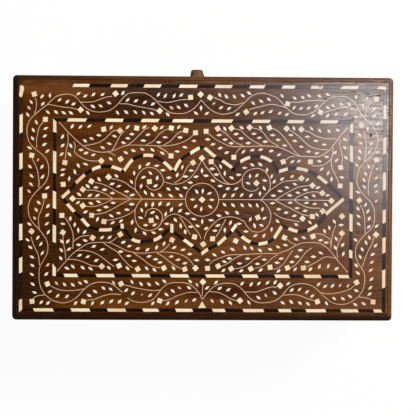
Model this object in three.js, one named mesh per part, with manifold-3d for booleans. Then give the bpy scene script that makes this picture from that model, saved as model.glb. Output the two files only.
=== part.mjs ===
// A wooden box with a hinged lid, its lid inlaid with bone and ebony.
// Millimetres, +Z up. The front, with the thumb tab, faces -Y and the hinges are at +Y.
// The origin is on the underside, in the middle of the carcass.
import * as THREE from 'three';
import { mergeVertices } from 'three/addons/utils/BufferGeometryUtils.js';
import Module from 'manifold-3d';

const wasm = await Module();
wasm.setup();

// Driving dimensions of the box
const lidLength = 382; // over the mouldings, left to right
const lidDepth = 245; // over the mouldings, front to back
const boxHeight = 122;
const lidHeight = 32; // from the case's rim to the top
const wallThickness = 12; // case walls and lid rails
const panelThickness = 9;
const bottomThickness = 8;
const seamGap = 0.3; // between the closed lid and the rim
const mitreGap = 0.3; // between two mitred ends
const overrun = 6; // how far a cutting solid runs past what it cuts

// Mouldings round the lid's top and the case's foot
const lipReach = 4.5; // how far both stand out from the carcass
const lipHeight = 11;
const lipDrop = 0.3; // the lip's top lies this far under the panel's face
const quirkWidth = 0.7; // the fine groove between panel and lip
const quirkDepth = 1;
const lipRadius = 1.7;
const lipUndercut = 1.2;
const plinthHeight = 14;
const plinthRadius = 2.6;
const cornerRadius = 4; // both mouldings' outer corners, seen from above
const roundSteps = 4; // straight steps in a quarter circle

// Thumb tab at the front of the lid
const tabOffset = 6.9; // to the right of the middle
const tabTipWidth = 12.2;
const tabLeftFlare = 2.2; // how much further the base reaches than the tip, on either side
const tabRightFlare = 0.9;
const tabReach = 8; // beyond the lip
const tabHeight = 10;
const tabChamfer = 1.2;
const tabUndercut = 4.5;
const tabTipRadius = 2.4;

// Stringing: lines of bone and ebony pieces in turn
const stringingWidth = 3.7;
const medallionLineWidth = 3.5;
const inlayDepth = 1.2;
const inlayGap = 0.3; // round a piece that follows a curve
const endMargin = 2.25; // panel edge to outer stringing, at the two ends
const sideMargin = 3.75; // the same, at front and back
const borderEndWidth = 29.8; // between outer and inner stringing, at the two ends
const borderLongWidth = 30.9; // the same, at front and back
const caseFrameMargin = 6; // round the stringing frames on the case's walls

// Bone line work
const stemWidth = 0.9;
const stepsPerSpan = 2; // straight steps between two points of a stem's outline
const medallionEndGap = 5.55; // inner stringing to the medallion's tips
const medallionSideGap = 21.95; // inner stringing to the medallion's front and back points
const ringRadius = 16.6;
const ringSteps = 24;

// Hinges and their screws
const openDegrees = 100;
const stopSlackDegrees = 1; // left between each bevel and the stop
const hingeInset = 3; // pin centre to the carcass's back face
const hingeFromEnd = 76.5; // carcass's end to the middle of each hinge
const hingeLength = 50;
const leafDepth = 8; // pin centre to the leaf's inner edge
const leafThickness = 1.4;
const barrelRadius = 2.2;
const pinRadius = 1;
const hingeGap = 0.3;
const barrelSteps = 16;
const pinSteps = 12;
const screwSpacing = 17;
const screwInset = 4.8; // pin centre to screw centre
const screwHeadRadius = 2.1;
const screwHeadRim = 0.3;
const screwHeadHeight = 1.4;
const screwShankRadius = 1;
const screwLength = 9;
const screwTip = 2;
const screwSteps = 8;

// The outlines below are shares. Across the field a share runs from 0 in the middle to 1 at the
// inner stringing, and from 1 to 2 it crosses the border. The second share is plus to the front.
const vineShares = [
  [0.005, 1.613], [0.046, 1.439], [0.093, 1.251], [0.166, 1.17], [0.239, 1.244], [0.302, 1.497],
  [0.362, 1.756], [0.431, 1.846], [0.511, 1.769], [0.57, 1.474], [0.63, 1.254], [0.703, 1.206],
  [0.776, 1.316], [0.836, 1.617], [0.904, 1.775], [0.987, 1.668], [1.243, 1.393], [1.606, 1.102],
  [1.831, 0.917], [1.867, 0.791], [1.713, 0.659], [1.327, 0.531], [1.136, 0.377], [1.193, 0.226],
  [1.545, 0.073], [1.79, -0.069], [1.8, -0.213], [1.512, -0.374], [1.203, -0.527], [1.169, -0.684],
  [1.394, -0.854], [1.445, -1.011], [1.327, -1.416], [1.018, -1.73], [0.921, -1.83],
  [0.838, -1.649], [0.761, -1.27], [0.672, -1.154], [0.584, -1.27], [0.514, -1.594],
  [0.438, -1.798], [0.345, -1.736], [0.279, -1.393], [0.192, -1.163], [0.093, -1.212],
  [0.03, -1.448], [0.005, -1.642],
];

// A corner spray. The second share runs from 0 at the medallion's depth to 1 at the stringing.
const sprayShares = [
  [0.97, 0.89], [0.916, 0.492], [0.848, 0.059], [0.78, -0.246], [0.689, -0.374], [0.604, -0.264],
  [0.519, -0.055], [0.394, -0.05], [0.274, -0.068], [0.17, 0.046], [0.087, 0.378], [0.068, 0.478],
];

// A quarter of the medallion's outline, tip to front point, in shares of its half sizes
const medallionShares = [
  [1, 0], [0.901, 0.278], [0.834, 0.435], [0.784, 0.537], [0.728, 0.589], [0.654, 0.593],
  [0.601, 0.556], [0.555, 0.519], [0.502, 0.722], [0.466, 0.787], [0.403, 0.815], [0.346, 0.796],
  [0.283, 0.694], [0.212, 0.528], [0.155, 0.685], [0.092, 0.815], [0, 1],
];

// A quarter of the scroll in it, in the same shares: the spiral, and the ogee stem that leaves it
const spiralShares = [
  [0.431, 0.004], [0.463, 0.1], [0.481, 0.274], [0.472, 0.389], [0.438, 0.515], [0.38, 0.57],
  [0.314, 0.5], [0.283, 0.33], [0.309, 0.191], [0.3675, 0.159], [0.404, 0.244],
];
const ogeeShares = [
  [0.2835, 0.33], [0.25, 0.283], [0.2, 0.265], [0.155, 0.285], [0.105, 0.35], [0.06, 0.49],
  [0, 0.7],
];
const stemEndShare = 0.885; // where the long middle stem ends, on the medallion's half length

// Worked out from the sizes above
const halfLength = lidLength / 2 - lipReach; // of the carcass, without its mouldings
const halfDepth = lidDepth / 2 - lipReach;
const rim = boxHeight - lidHeight;
const railBottom = rim + seamGap;
const panelBottom = boxHeight - panelThickness;
const lipBottom = boxHeight - lipHeight;
const inlayFloor = boxHeight - inlayDepth;
const outerX = halfLength - endMargin; // outer edges of the two stringing frames
const outerY = halfDepth - sideMargin;
const innerX = outerX - stringingWidth - borderEndWidth;
const innerY = outerY - stringingWidth - borderLongWidth;
const fieldX = innerX - stringingWidth;
const fieldY = innerY - stringingWidth;
const medallionX = fieldX - medallionEndGap;
const medallionY = fieldY - medallionSideGap;
const axisY = halfDepth - hingeInset;
const hingeOffset = halfLength - hingeFromEnd;
const axisZ = rim + seamGap / 2;
const mitreInset = mitreGap * Math.SQRT1_2;
const bevelSlope = Math.tan(THREE.MathUtils.degToRad(openDegrees / 2 + stopSlackDegrees));

// The four sides, each made as the front is and then turned by quarter turns
const sides = [
  { name: 'front', turn: 0, half: halfLength, face: halfDepth },
  { name: 'right', turn: 1, half: halfDepth, face: halfLength },
  { name: 'back', turn: 2, half: halfLength, face: halfDepth },
  { name: 'left', turn: 3, half: halfDepth, face: halfLength },
];

const looks = {
  wood: { color: 0x4b2a18, roughness: 0.45, metalness: 0 },
  darkWood: { color: 0x37200f, roughness: 0.5, metalness: 0 },
  bone: { color: 0xe8dcc0, roughness: 0.4, metalness: 0 },
  brass: { color: 0xa6843f, roughness: 0.35, metalness: 1 },
};

const box = new THREE.Group();

// Geometry to solid, and solid to a named mesh of the box

function solidOf(geometry) {
  const bare = geometry.index ? geometry.toNonIndexed() : geometry.clone();
  bare.deleteAttribute('normal');
  bare.deleteAttribute('uv');
  const merged = mergeVertices(bare);
  const corners = [];
  for (let i = 0; i < merged.index.count; i += 3) {
    const [a, b, c] = [0, 1, 2].map((k) => merged.index.getX(i + k));
    if (a !== b && b !== c && c !== a) corners.push(a, b, c);
  }
  return new wasm.Manifold(new wasm.Mesh({
    numProp: 3,
    vertProperties: merged.attributes.position.array,
    triVerts: new Uint32Array(corners),
  }));
}

function addPiece(name, solid, look) {
  const cut = solid.getMesh();
  const geometry = new THREE.BufferGeometry();
  geometry.setAttribute('position', new THREE.BufferAttribute(cut.vertProperties, cut.numProp));
  geometry.setIndex(new THREE.BufferAttribute(cut.triVerts, 1));
  geometry.computeVertexNormals();
  const material = new THREE.MeshStandardMaterial({ ...looks[look], flatShading: true });
  const mesh = new THREE.Mesh(geometry, material);
  mesh.name = name;
  box.add(mesh);
}

// Basic solids

function turnedPoint(point, turn) {
  const quarter = [
    [point.x, point.y], [-point.y, point.x], [-point.x, -point.y], [point.y, -point.x],
  ][turn];
  return new THREE.Vector2(...quarter);
}

function rectangle(x0, x1, y0, y1) {
  return [[x0, y0], [x1, y0], [x1, y1], [x0, y1]].map(([x, y]) => new THREE.Vector2(x, y));
}

function prism(outline, bottom, top, hole) {
  const shape = new THREE.Shape(outline);
  if (hole) shape.holes.push(new THREE.Path(hole));
  const geometry = new THREE.ExtrudeGeometry(shape, { depth: 1, bevelEnabled: false });
  geometry.scale(1, 1, top - bottom);
  geometry.translate(0, 0, bottom);
  return solidOf(geometry);
}

// A profile of [y, z] points run along X
function alongX(profile, x0, x1) {
  const shape = new THREE.Shape(profile.map(([y, z]) => new THREE.Vector2(y, z)));
  const geometry = new THREE.ExtrudeGeometry(shape, { depth: 1, bevelEnabled: false });
  geometry.scale(1, 1, x1 - x0);
  geometry.translate(0, 0, x0);
  geometry.applyMatrix4(new THREE.Matrix4().makeBasis(
    new THREE.Vector3(0, 1, 0), new THREE.Vector3(0, 0, 1), new THREE.Vector3(1, 0, 0)));
  return solidOf(geometry);
}

// A round bar along X, or, for a hole, the prism whose flats touch that circle
function bar(radius, steps, x0, x1, forHole) {
  const reach = forHole ? radius / Math.cos(Math.PI / steps) : radius;
  const ring = Array.from({ length: steps }, (_, i) => {
    const angle = (i / steps) * 2 * Math.PI;
    return [axisY + reach * Math.cos(angle), axisZ + reach * Math.sin(angle)];
  });
  return alongX(ring, x0, x1);
}

function quarterRound(cx, cy, radius, fromQuarter) {
  return Array.from({ length: roundSteps + 1 }, (_, i) => {
    const angle = (fromQuarter + i / roundSteps) * (Math.PI / 2);
    return [cx + radius * Math.cos(angle), cy + radius * Math.sin(angle)];
  });
}

// A board with mitred ends, from inner to outer, both counted outwards from the carcass's face
function mitredBoard(side, inner, outer, bottom, top) {
  const near = side.half + outer - mitreInset;
  const far = side.half + inner - mitreInset;
  const outline = [
    [-near, -side.face - outer], [near, -side.face - outer],
    [far, -side.face - inner], [-far, -side.face - inner],
  ].map(([x, y]) => turnedPoint(new THREE.Vector2(x, y), side.turn));
  return prism(outline, bottom, top);
}

// A moulding of a section of [outwards, z] points, with mitred ends and a rounded outer corner
function moulding(side, section) {
  const shape = new THREE.Shape(section.map(([out, z]) => new THREE.Vector2(out, z)));
  const run = side.half + lipReach + overrun;
  const geometry = new THREE.ExtrudeGeometry(shape, { depth: 1, bevelEnabled: false });
  geometry.translate(0, 0, -1 / 2);
  geometry.scale(1, 1, 2 * run);
  geometry.applyMatrix4(new THREE.Matrix4().makeBasis(
    new THREE.Vector3(0, -1, 0), new THREE.Vector3(0, 0, 1), new THREE.Vector3(-1, 0, 0)));
  geometry.translate(0, -side.face, 0);
  geometry.rotateZ(side.turn * (Math.PI / 2));
  const x = halfLength + lipReach;
  const y = halfDepth + lipReach;
  const outline = [
    ...quarterRound(x - cornerRadius, y - cornerRadius, cornerRadius, 0),
    ...quarterRound(-x + cornerRadius, y - cornerRadius, cornerRadius, 1),
    ...quarterRound(-x + cornerRadius, -y + cornerRadius, cornerRadius, 2),
    ...quarterRound(x - cornerRadius, -y + cornerRadius, cornerRadius, 3),
  ].map(([px, py]) => new THREE.Vector2(px, py));
  return solidOf(geometry)
    .intersect(mitredBoard(side, -overrun, lipReach + overrun, -overrun, boxHeight + overrun))
    .intersect(prism(outline, -overrun, boxHeight + overrun));
}

// The case's and the lid's back edges are bevelled from the pin line out, and meet when it is open
function bevelCutter(edge, away) {
  const back = halfDepth + overrun;
  return alongX([
    [axisY, edge], [back, edge + away * (back - axisY) * bevelSlope],
    [back, edge - away * overrun], [axisY, edge - away * overrun],
  ], -halfLength - overrun, halfLength + overrun);
}

// Case: four mitred walls, a bottom board between them and a moulding round the foot

function makeCase(hingeCuts) {
  const bevel = bevelCutter(rim, -1);
  for (const side of sides) {
    let wall = mitredBoard(side, -wallThickness, 0, 0, rim).subtract(bevel);
    if (side.name === 'back') wall = hingeCuts.reduce((left, cut) => left.subtract(cut), wall);
    if (side.name !== 'back') wall = wall.subtract(caseFrame(side));
    addPiece(`case_${side.name}_wall`, wall, 'wood');
    if (side.name !== 'back') addPiece(`case_${side.name}_stringing`, caseFrame(side), 'bone');
    addPiece(`plinth_${side.name}`, moulding(side, [
      [0, 0], [lipReach, 0],
      ...quarterRound(lipReach - plinthRadius, plinthHeight - plinthRadius, plinthRadius, 0),
      [0, plinthHeight],
    ]), 'darkWood');
  }
  const x = halfLength - wallThickness;
  const y = halfDepth - wallThickness;
  addPiece('case_bottom_board', prism(rectangle(-x, x, -y, y), 0, bottomThickness), 'wood');
}

// The stringing frame let into the face of a case wall
function caseFrame(side) {
  const x = side.half - caseFrameMargin;
  const low = plinthHeight + caseFrameMargin;
  const high = rim - caseFrameMargin;
  const shape = new THREE.Shape(rectangle(-x, x, low, high));
  const line = stringingWidth;
  shape.holes.push(new THREE.Path(rectangle(-x + line, x - line, low + line, high - line)));
  const geometry = new THREE.ExtrudeGeometry(shape, { depth: 1, bevelEnabled: false });
  geometry.scale(1, 1, inlayDepth);
  geometry.applyMatrix4(new THREE.Matrix4().makeBasis(
    new THREE.Vector3(1, 0, 0), new THREE.Vector3(0, 0, 1), new THREE.Vector3(0, -1, 0)));
  geometry.translate(0, inlayDepth - side.face, 0);
  geometry.rotateZ(side.turn * (Math.PI / 2));
  return solidOf(geometry);
}

// Lid: four mitred rails under an inlaid panel, with a moulding round the panel's edge

function makeLid(hingeCuts, grooves) {
  const bevel = bevelCutter(railBottom, 1);
  for (const side of sides) {
    let rail = mitredBoard(side, -wallThickness, 0, railBottom, panelBottom).subtract(bevel);
    if (side.name === 'back') rail = hingeCuts.reduce((left, cut) => left.subtract(cut), rail);
    addPiece(`lid_${side.name}_rail`, rail, 'wood');
    const top = boxHeight - lipDrop;
    addPiece(`lid_${side.name}_moulding`, moulding(side, [
      [0, lipBottom], [lipReach - lipUndercut, lipBottom], [lipReach, lipBottom + lipUndercut],
      ...quarterRound(lipReach - lipRadius, top - lipRadius, lipRadius, 0),
      [quirkWidth, top], [quirkWidth, top - quirkDepth], [0, top - quirkDepth],
    ]), 'wood');
  }
  const face = rectangle(-halfLength, halfLength, -halfDepth, halfDepth);
  const panel = grooves.reduce(
    (left, groove) => left.subtract(groove), prism(face, panelBottom, boxHeight));
  addPiece('lid_panel', panel, 'wood');
  addPiece('thumb_tab', thumbTab(), 'wood');
}

// The tab sits under the lip, against the front rail
function thumbTab() {
  const tip = -halfDepth - lipReach - tabReach;
  const left = tabOffset - tabTipWidth / 2;
  const right = tabOffset + tabTipWidth / 2;
  const plan = new THREE.Shape();
  plan.moveTo(left - tabLeftFlare, -halfDepth);
  plan.lineTo(left - tabLeftFlare, -halfDepth - lipReach);
  plan.lineTo(left, tip + tabTipRadius);
  plan.quadraticCurveTo(left, tip, left + tabTipRadius, tip);
  plan.lineTo(right - tabTipRadius, tip);
  plan.quadraticCurveTo(right, tip, right, tip + tabTipRadius);
  plan.lineTo(right + tabRightFlare, -halfDepth - lipReach);
  plan.lineTo(right + tabRightFlare, -halfDepth);
  const low = lipBottom - tabHeight;
  const profile = [
    [-halfDepth, low], [-halfDepth, lipBottom], [tip + tabChamfer, lipBottom],
    [tip, lipBottom - tabChamfer], [tip, low + tabUndercut], [-halfDepth - lipReach, low],
  ];
  return prism(plan.getPoints(roundSteps), low, lipBottom)
    .intersect(alongX(profile, left - overrun, right + overrun));
}

// Paths of the inlay, seen from above

function borderPoint([across, along]) {
  const x = across > 1 ? innerX + (across - 1) * borderEndWidth : across * innerX;
  const size = Math.abs(along);
  const y = size > 1 ? innerY + (size - 1) * borderLongWidth : size * innerY;
  return new THREE.Vector2(x, -Math.sign(along) * y);
}

function sprayPoint([across, along]) {
  return new THREE.Vector2(across * fieldX, -medallionY - along * (fieldY - medallionY));
}

function medallionPoint([across, along]) {
  return new THREE.Vector2(across * medallionX, -along * medallionY);
}

function mirrored(points, signX, signY) {
  return points.map((point) => new THREE.Vector2(point.x * signX, point.y * signY));
}

function smooth(points) {
  return new THREE.SplineCurve(points).getPoints((points.length - 1) * stepsPerSpan);
}

// The path moved sideways by a distance, with a mitre at each corner
function offsetPath(points, distance, closed) {
  const last = points.length - 1;
  return points.map((point, i) => {
    const before = points[i > 0 ? i - 1 : closed ? last : 0];
    const after = points[i < last ? i + 1 : closed ? 0 : last];
    const arrive = point.clone().sub(before).normalize();
    const leave = after.clone().sub(point).normalize();
    if (!closed && i === 0) arrive.copy(leave);
    if (!closed && i === last) leave.copy(arrive);
    const along = arrive.clone().add(leave).normalize();
    const reach = distance / along.dot(arrive);
    return new THREE.Vector2(point.x - along.y * reach, point.y + along.x * reach);
  });
}

// One piece of line work: its solid at its own width, or its groove with the gap round it
function stem(points, width, gap) {
  const half = width / 2 + gap;
  const first = points[0].clone().sub(points[1]).setLength(gap);
  const end = points[points.length - 1].clone().sub(points[points.length - 2]).setLength(gap);
  const path = points.map((point) => point.clone());
  path[0].add(first);
  path[path.length - 1].add(end);
  const outline = [...offsetPath(path, half, false), ...offsetPath(path, -half, false).reverse()];
  return prism(outline, inlayFloor, gap > 0 ? boxHeight + overrun : boxHeight);
}

function loop(points, width, gap) {
  const half = width / 2 + gap;
  const top = gap > 0 ? boxHeight + overrun : boxHeight;
  return prism(offsetPath(points, -half, true), inlayFloor, top, offsetPath(points, half, true));
}

// Stringing frame on the panel: front and back strips run through, the ends lie between them
function stringingFrame(name, x, y) {
  const line = stringingWidth;
  const strips = {
    front: rectangle(-x, x, -y, -y + line),
    back: rectangle(-x, x, y - line, y),
    right: rectangle(x - line, x, -y + line, y - line),
    left: rectangle(-x, -x + line, -y + line, y - line),
  };
  for (const [side, outline] of Object.entries(strips)) {
    addPiece(`${name}_stringing_${side}`, prism(outline, inlayFloor, boxHeight), 'bone');
  }
  const hole = rectangle(-x + line, x - line, -y + line, y - line);
  return prism(rectangle(-x, x, -y, y), inlayFloor, boxHeight + overrun, hole);
}

// Each of these returns the solid for a gap: none gives the piece, inlayGap gives its groove

function borderVine(gap) {
  const right = smooth(vineShares.map(borderPoint));
  const left = mirrored(right, -1, 1).reverse();
  return loop([...left, ...right], stemWidth, gap);
}

function medallionLine(gap) {
  const quarter = medallionShares.map(medallionPoint);
  const points = [
    ...quarter.slice(0, -1),
    ...mirrored(quarter, -1, 1).reverse().slice(0, -1),
    ...mirrored(quarter, -1, -1).slice(0, -1),
    ...mirrored(quarter, 1, -1).reverse().slice(0, -1),
  ];
  return loop(points.reverse(), medallionLineWidth, gap);
}

function medallionScroll(gap) {
  const ring = Array.from({ length: ringSteps }, (_, i) => {
    const angle = (i / ringSteps) * 2 * Math.PI;
    return new THREE.Vector2(ringRadius * Math.cos(angle), ringRadius * Math.sin(angle));
  });
  let scroll = loop(ring, stemWidth, gap);
  const end = stemEndShare * medallionX;
  const spiral = smooth(spiralShares.map(medallionPoint));
  const ogee = smooth(ogeeShares.map(medallionPoint));
  for (const signX of [1, -1]) {
    const middle = [new THREE.Vector2(signX * ringRadius, 0), new THREE.Vector2(signX * end, 0)];
    scroll = scroll.add(stem(middle, stemWidth, gap));
    for (const signY of [1, -1]) {
      scroll = scroll.add(stem(mirrored(spiral, signX, signY), stemWidth, gap));
      scroll = scroll.add(stem(mirrored(ogee, signX, signY), stemWidth, gap));
    }
  }
  return scroll;
}

function cornerSpray(signX, signY, gap) {
  return stem(mirrored(smooth(sprayShares.map(sprayPoint)), signX, signY), stemWidth, gap);
}

// Lays the inlay's pieces and returns the grooves that the panel needs for them
function makeInlay() {
  const grooves = [
    stringingFrame('outer', outerX, outerY),
    stringingFrame('inner', innerX, innerY),
  ];
  const pieces = {
    border_vine: borderVine,
    medallion_stringing: medallionLine,
    medallion_scroll: medallionScroll,
    front_right_spray: (gap) => cornerSpray(1, 1, gap),
    front_left_spray: (gap) => cornerSpray(-1, 1, gap),
    back_right_spray: (gap) => cornerSpray(1, -1, gap),
    back_left_spray: (gap) => cornerSpray(-1, -1, gap),
  };
  for (const [name, shapeFor] of Object.entries(pieces)) {
    addPiece(name, shapeFor(0), 'bone');
    grooves.push(shapeFor(inlayGap));
  }
  return grooves;
}

// Hinges: the case's leaf has the two outer knuckles and the lid's leaf the middle one

function screw(x, z, away, gap) {
  const shank = screwShankRadius + gap;
  const end = screwLength + gap;
  const profile = [
    [0, -end], [shank, screwTip - end], [shank, -screwHeadHeight - gap],
    [screwHeadRadius + gap, -screwHeadRim - gap], [screwHeadRadius + gap, gap > 0 ? overrun : 0],
    [0, gap > 0 ? overrun : 0],
  ].map(([radius, height]) => new THREE.Vector2(radius, height));
  const geometry = new THREE.LatheGeometry(profile, screwSteps);
  geometry.rotateX(away * (Math.PI / 2));
  geometry.translate(x, axisY - screwInset, z);
  return solidOf(geometry);
}

function makeHinge(name, middle) {
  const start = middle - hingeLength / 2;
  const end = middle + hingeLength / 2;
  const knuckle = hingeLength / 3;
  const outer = [[start, start + knuckle], [end - knuckle, end]];
  const inner = [[start + knuckle, end - knuckle]];
  const cuts = { case: [], lid: [] };
  const leaves = [
    { body: 'case', own: outer, other: inner, face: rim, away: 1 },
    { body: 'lid', own: inner, other: outer, face: railBottom, away: -1 },
  ];
  for (const leaf of leaves) {
    const low = Math.min(leaf.face, leaf.face - leaf.away * leafThickness);
    const high = Math.max(leaf.face, leaf.face - leaf.away * leafThickness);
    let solid = prism(rectangle(start, end, axisY - leafDepth, axisY), low, high);
    for (const [from, to] of leaf.other) {
      const room = bar(barrelRadius + hingeGap, barrelSteps, from - hingeGap, to + hingeGap, true);
      solid = solid.subtract(room);
    }
    for (const [from, to] of leaf.own) {
      const left = from > start ? from + hingeGap / 2 : from;
      const right = to < end ? to - hingeGap / 2 : to;
      solid = solid.add(bar(barrelRadius, barrelSteps, left, right));
    }
    solid = solid.subtract(bar(pinRadius + hingeGap, pinSteps, start - overrun, end + overrun, true));
    for (const [i, place] of [-1, 0, 1].entries()) {
      const x = middle + place * screwSpacing;
      addPiece(`${name}_${leaf.body}_screw_${i + 1}`, screw(x, leaf.face, leaf.away, 0), 'brass');
      const hole = screw(x, leaf.face, leaf.away, hingeGap);
      solid = solid.subtract(hole);
      cuts[leaf.body].push(hole);
    }
    addPiece(`${name}_${leaf.body}_leaf`, solid, 'brass');
    const inside = axisY - leafDepth - hingeGap;
    const mortise = rectangle(start - hingeGap, end + hingeGap, inside, axisY);
    const open = leaf.face + leaf.away * overrun;
    const floor = leaf.face - leaf.away * leafThickness;
    cuts[leaf.body].push(prism(mortise, Math.min(open, floor), Math.max(open, floor)));
    cuts[leaf.body].push(
      bar(barrelRadius + hingeGap, barrelSteps, start - hingeGap, end + hingeGap, true));
  }
  addPiece(`${name}_pin`, bar(pinRadius, pinSteps, start, end), 'brass');
  return cuts;
}

const rightHinge = makeHinge('right_hinge', hingeOffset);
const leftHinge = makeHinge('left_hinge', -hingeOffset);
makeCase([...rightHinge.case, ...leftHinge.case]);
makeLid([...rightHinge.lid, ...leftHinge.lid], makeInlay());

export default box;
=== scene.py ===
import math
import random

import bpy
from mathutils import Matrix, Vector


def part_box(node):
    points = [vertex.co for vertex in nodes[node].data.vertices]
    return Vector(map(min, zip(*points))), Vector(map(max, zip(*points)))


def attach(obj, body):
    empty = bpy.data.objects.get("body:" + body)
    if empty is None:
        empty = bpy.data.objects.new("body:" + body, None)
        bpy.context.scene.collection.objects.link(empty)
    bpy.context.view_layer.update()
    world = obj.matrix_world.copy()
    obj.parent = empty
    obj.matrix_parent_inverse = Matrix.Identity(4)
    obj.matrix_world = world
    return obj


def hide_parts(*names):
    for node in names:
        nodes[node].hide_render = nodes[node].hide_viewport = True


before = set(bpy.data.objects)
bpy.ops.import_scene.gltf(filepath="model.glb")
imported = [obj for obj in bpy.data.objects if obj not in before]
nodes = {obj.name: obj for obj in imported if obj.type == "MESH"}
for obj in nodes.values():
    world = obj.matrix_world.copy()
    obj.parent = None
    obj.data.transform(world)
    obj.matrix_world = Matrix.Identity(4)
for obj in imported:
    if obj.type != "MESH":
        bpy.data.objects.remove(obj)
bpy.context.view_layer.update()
panelLow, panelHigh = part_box("lid_panel")
scene = bpy.context.scene
scene.view_settings.view_transform = "Standard"
mm = 0.001
chance = random.Random(7)  # hand-cut pieces differ a little, the same way in each run
print("frame loaded:", len(nodes), "nodes")

# Camera: straight down on the lid, with the thumb tab at the top of the picture.
# The picture's x runs to the right and its y up, so both are the frame's own turned half round.
cameraSet = dict(
    place=(0.0259, -0.0059, 1.322),  # 1.2 m above the lid
    aim=(-0.0048, 0.0095, 0.122),
    pictureUp=(0, -1, 0),
    roll=0.33,  # degrees
    lens=103.5,
    clip=(0.05, 50),
)


def makeCamera(look):
    data = bpy.data.cameras.new("camera")
    data.lens = look["lens"]
    data.clip_start, data.clip_end = look["clip"]
    camera = bpy.data.objects.new("camera", data)
    scene.collection.objects.link(camera)
    place, aim = Vector(look["place"]), Vector(look["aim"])
    back = (place - aim).normalized()
    right = Vector(look["pictureUp"]).cross(back).normalized()
    turned = Matrix((right, back.cross(right), back)).transposed().to_4x4()
    roll = Matrix.Rotation(math.radians(look["roll"]), 4, back)
    camera.matrix_world = Matrix.Translation(place) @ roll @ turned
    scene.camera = camera


makeCamera(cameraSet)


# Every colour below is written as the screen shows it, and turned into light here.
def linear(hexColour):
    channels = [int(hexColour[i:i + 2], 16) / 255 for i in (1, 3, 5)]
    return tuple(c / 12.92 if c <= 0.04045 else ((c + 0.055) / 1.055) ** 2.4 for c in channels) + (1.0,)


def addNode(owner, kind, settings=None, links=None):
    node = owner.node_tree.nodes.new("ShaderNode" + kind)
    for name, value in (settings or {}).items():
        if name == "stops":
            ramp = node.color_ramp
            while len(ramp.elements) < len(value):
                ramp.elements.new(0.5)
            for element, (place, colour) in zip(ramp.elements, value):
                element.position, element.color = place, linear(colour)
        elif isinstance(name, int) or name in node.inputs:
            node.inputs[name].default_value = value
        else:
            setattr(node, name, value)
    for name, source in (links or {}).items():
        owner.node_tree.links.new(node.inputs[name], source)
    return node


def calculate(owner, operation, *terms):
    numbers = {k: term for k, term in enumerate(terms) if isinstance(term, (int, float))}
    sockets = {k: term for k, term in enumerate(terms) if k not in numbers}
    return addNode(owner, "Math", {"operation": operation, **numbers}, sockets).outputs[0]


def remap(owner, value, start, end, low=0.0, high=1.0):
    return addNode(owner, "MapRange",
                   {"From Min": start, "From Max": end, "To Min": low, "To Max": high},
                   {"Value": value}).outputs[0]


def blend(owner, share, first, second):
    return addNode(owner, "MixRGB", {"Fac": share}, {"Color1": first, "Color2": second}).outputs[0]


def tint(owner, colour, share, hexColour):
    return addNode(owner, "MixRGB", {"Color2": linear(hexColour)},
                   {"Fac": share, "Color1": colour}).outputs[0]


def spread(owner, value, tones):
    return addNode(owner, "ValToRGB", {"stops": tones}, {0: value}).outputs[0]


def framePlace(owner):
    return addNode(owner, "TexCoord").outputs["Object"]


def splitPlace(owner, place):
    return addNode(owner, "SeparateXYZ", None, {0: place}).outputs


def grainNoise(owner, place, along, across, detail=2.0, distortion=0.0):
    stretch = addNode(owner, "Mapping",
                      {"Scale": (1 / along / mm, 1 / across / mm, 1 / across / mm)},
                      {"Vector": place})
    noise = addNode(owner, "TexNoise",
                    {"Scale": 1.0, "Detail": detail, "Distortion": distortion},
                    {"Vector": stretch.outputs[0]})
    return noise.outputs["Fac"]


def newMaterial(name):
    made = bpy.data.materials.new(name)
    made.use_nodes = True
    made.node_tree.nodes.clear()
    return made


def closeMaterial(owner, surface, links, relief=None, bump=None):
    if relief is not None:  # bump: its strength, and its height in mm
        height = addNode(owner, "Bump", {"Strength": bump[0], "Distance": bump[1] * mm},
                         {"Height": relief})
        links = dict(links, Normal=height.outputs[0])
    shader = addNode(owner, "BsdfPrincipled", surface, links)
    addNode(owner, "OutputMaterial", None, {"Surface": shader.outputs[0]})
    return owner


# Stage: a pale table, a large soft key lamp, a smaller one whose mirror image falls on the lid's
# upper right in the picture, and a weak one from the other side. The room is pale near the horizon
# and dark overhead, so polished wood stays deep from above.
stageSet = dict(
    tableSize=9.0,
    tableColour="#f4f2ef",
    tableGlow=0.95,
    lamps=[  # place in m, size in m, watts
        ("keyLamp", (-1.3, -1.0, 1.45), (0.8, 0.8), 46.0),
        ("sheenLamp", (-0.54, -0.265, 1.75), (0.43, 0.43), 9.2),
        ("fillLamp", (1.4, 0.7, 1.1), (0.8, 0.8), 6.0),
    ],
    skyTones=[(0.1, "#f2f4f6"), (0.45, "#1c1e22")],
    skyStrength=0.9,
)


def makeTable(look):
    half = look["tableSize"] / 2
    mesh = bpy.data.meshes.new("table")
    mesh.from_pydata([(-half, -half, 0), (half, -half, 0), (half, half, 0), (-half, half, 0)],
                     [], [(0, 1, 2, 3)])
    table = bpy.data.objects.new("table", mesh)
    scene.collection.objects.link(table)
    paper = newMaterial("matt white table paper")
    matt = addNode(paper, "BsdfDiffuse", {"Color": linear(look["tableColour"])})
    # Part of its light is its own to the eye and in reflections, which softens the shadow.
    glow = addNode(paper, "Emission", {"Color": (1, 1, 1, 1), "Strength": 1.0})
    ray = addNode(paper, "LightPath").outputs
    seen = calculate(paper, "MAXIMUM", ray["Is Camera Ray"], ray["Is Glossy Ray"])
    seen = calculate(paper, "MAXIMUM", seen, ray["Is Transmission Ray"])
    share = calculate(paper, "MULTIPLY", seen, look["tableGlow"])
    mix = addNode(paper, "MixShader", None, {0: share, 1: matt.outputs[0], 2: glow.outputs[0]})
    addNode(paper, "OutputMaterial", None, {"Surface": mix.outputs[0]})
    mesh.materials.append(paper)


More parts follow.
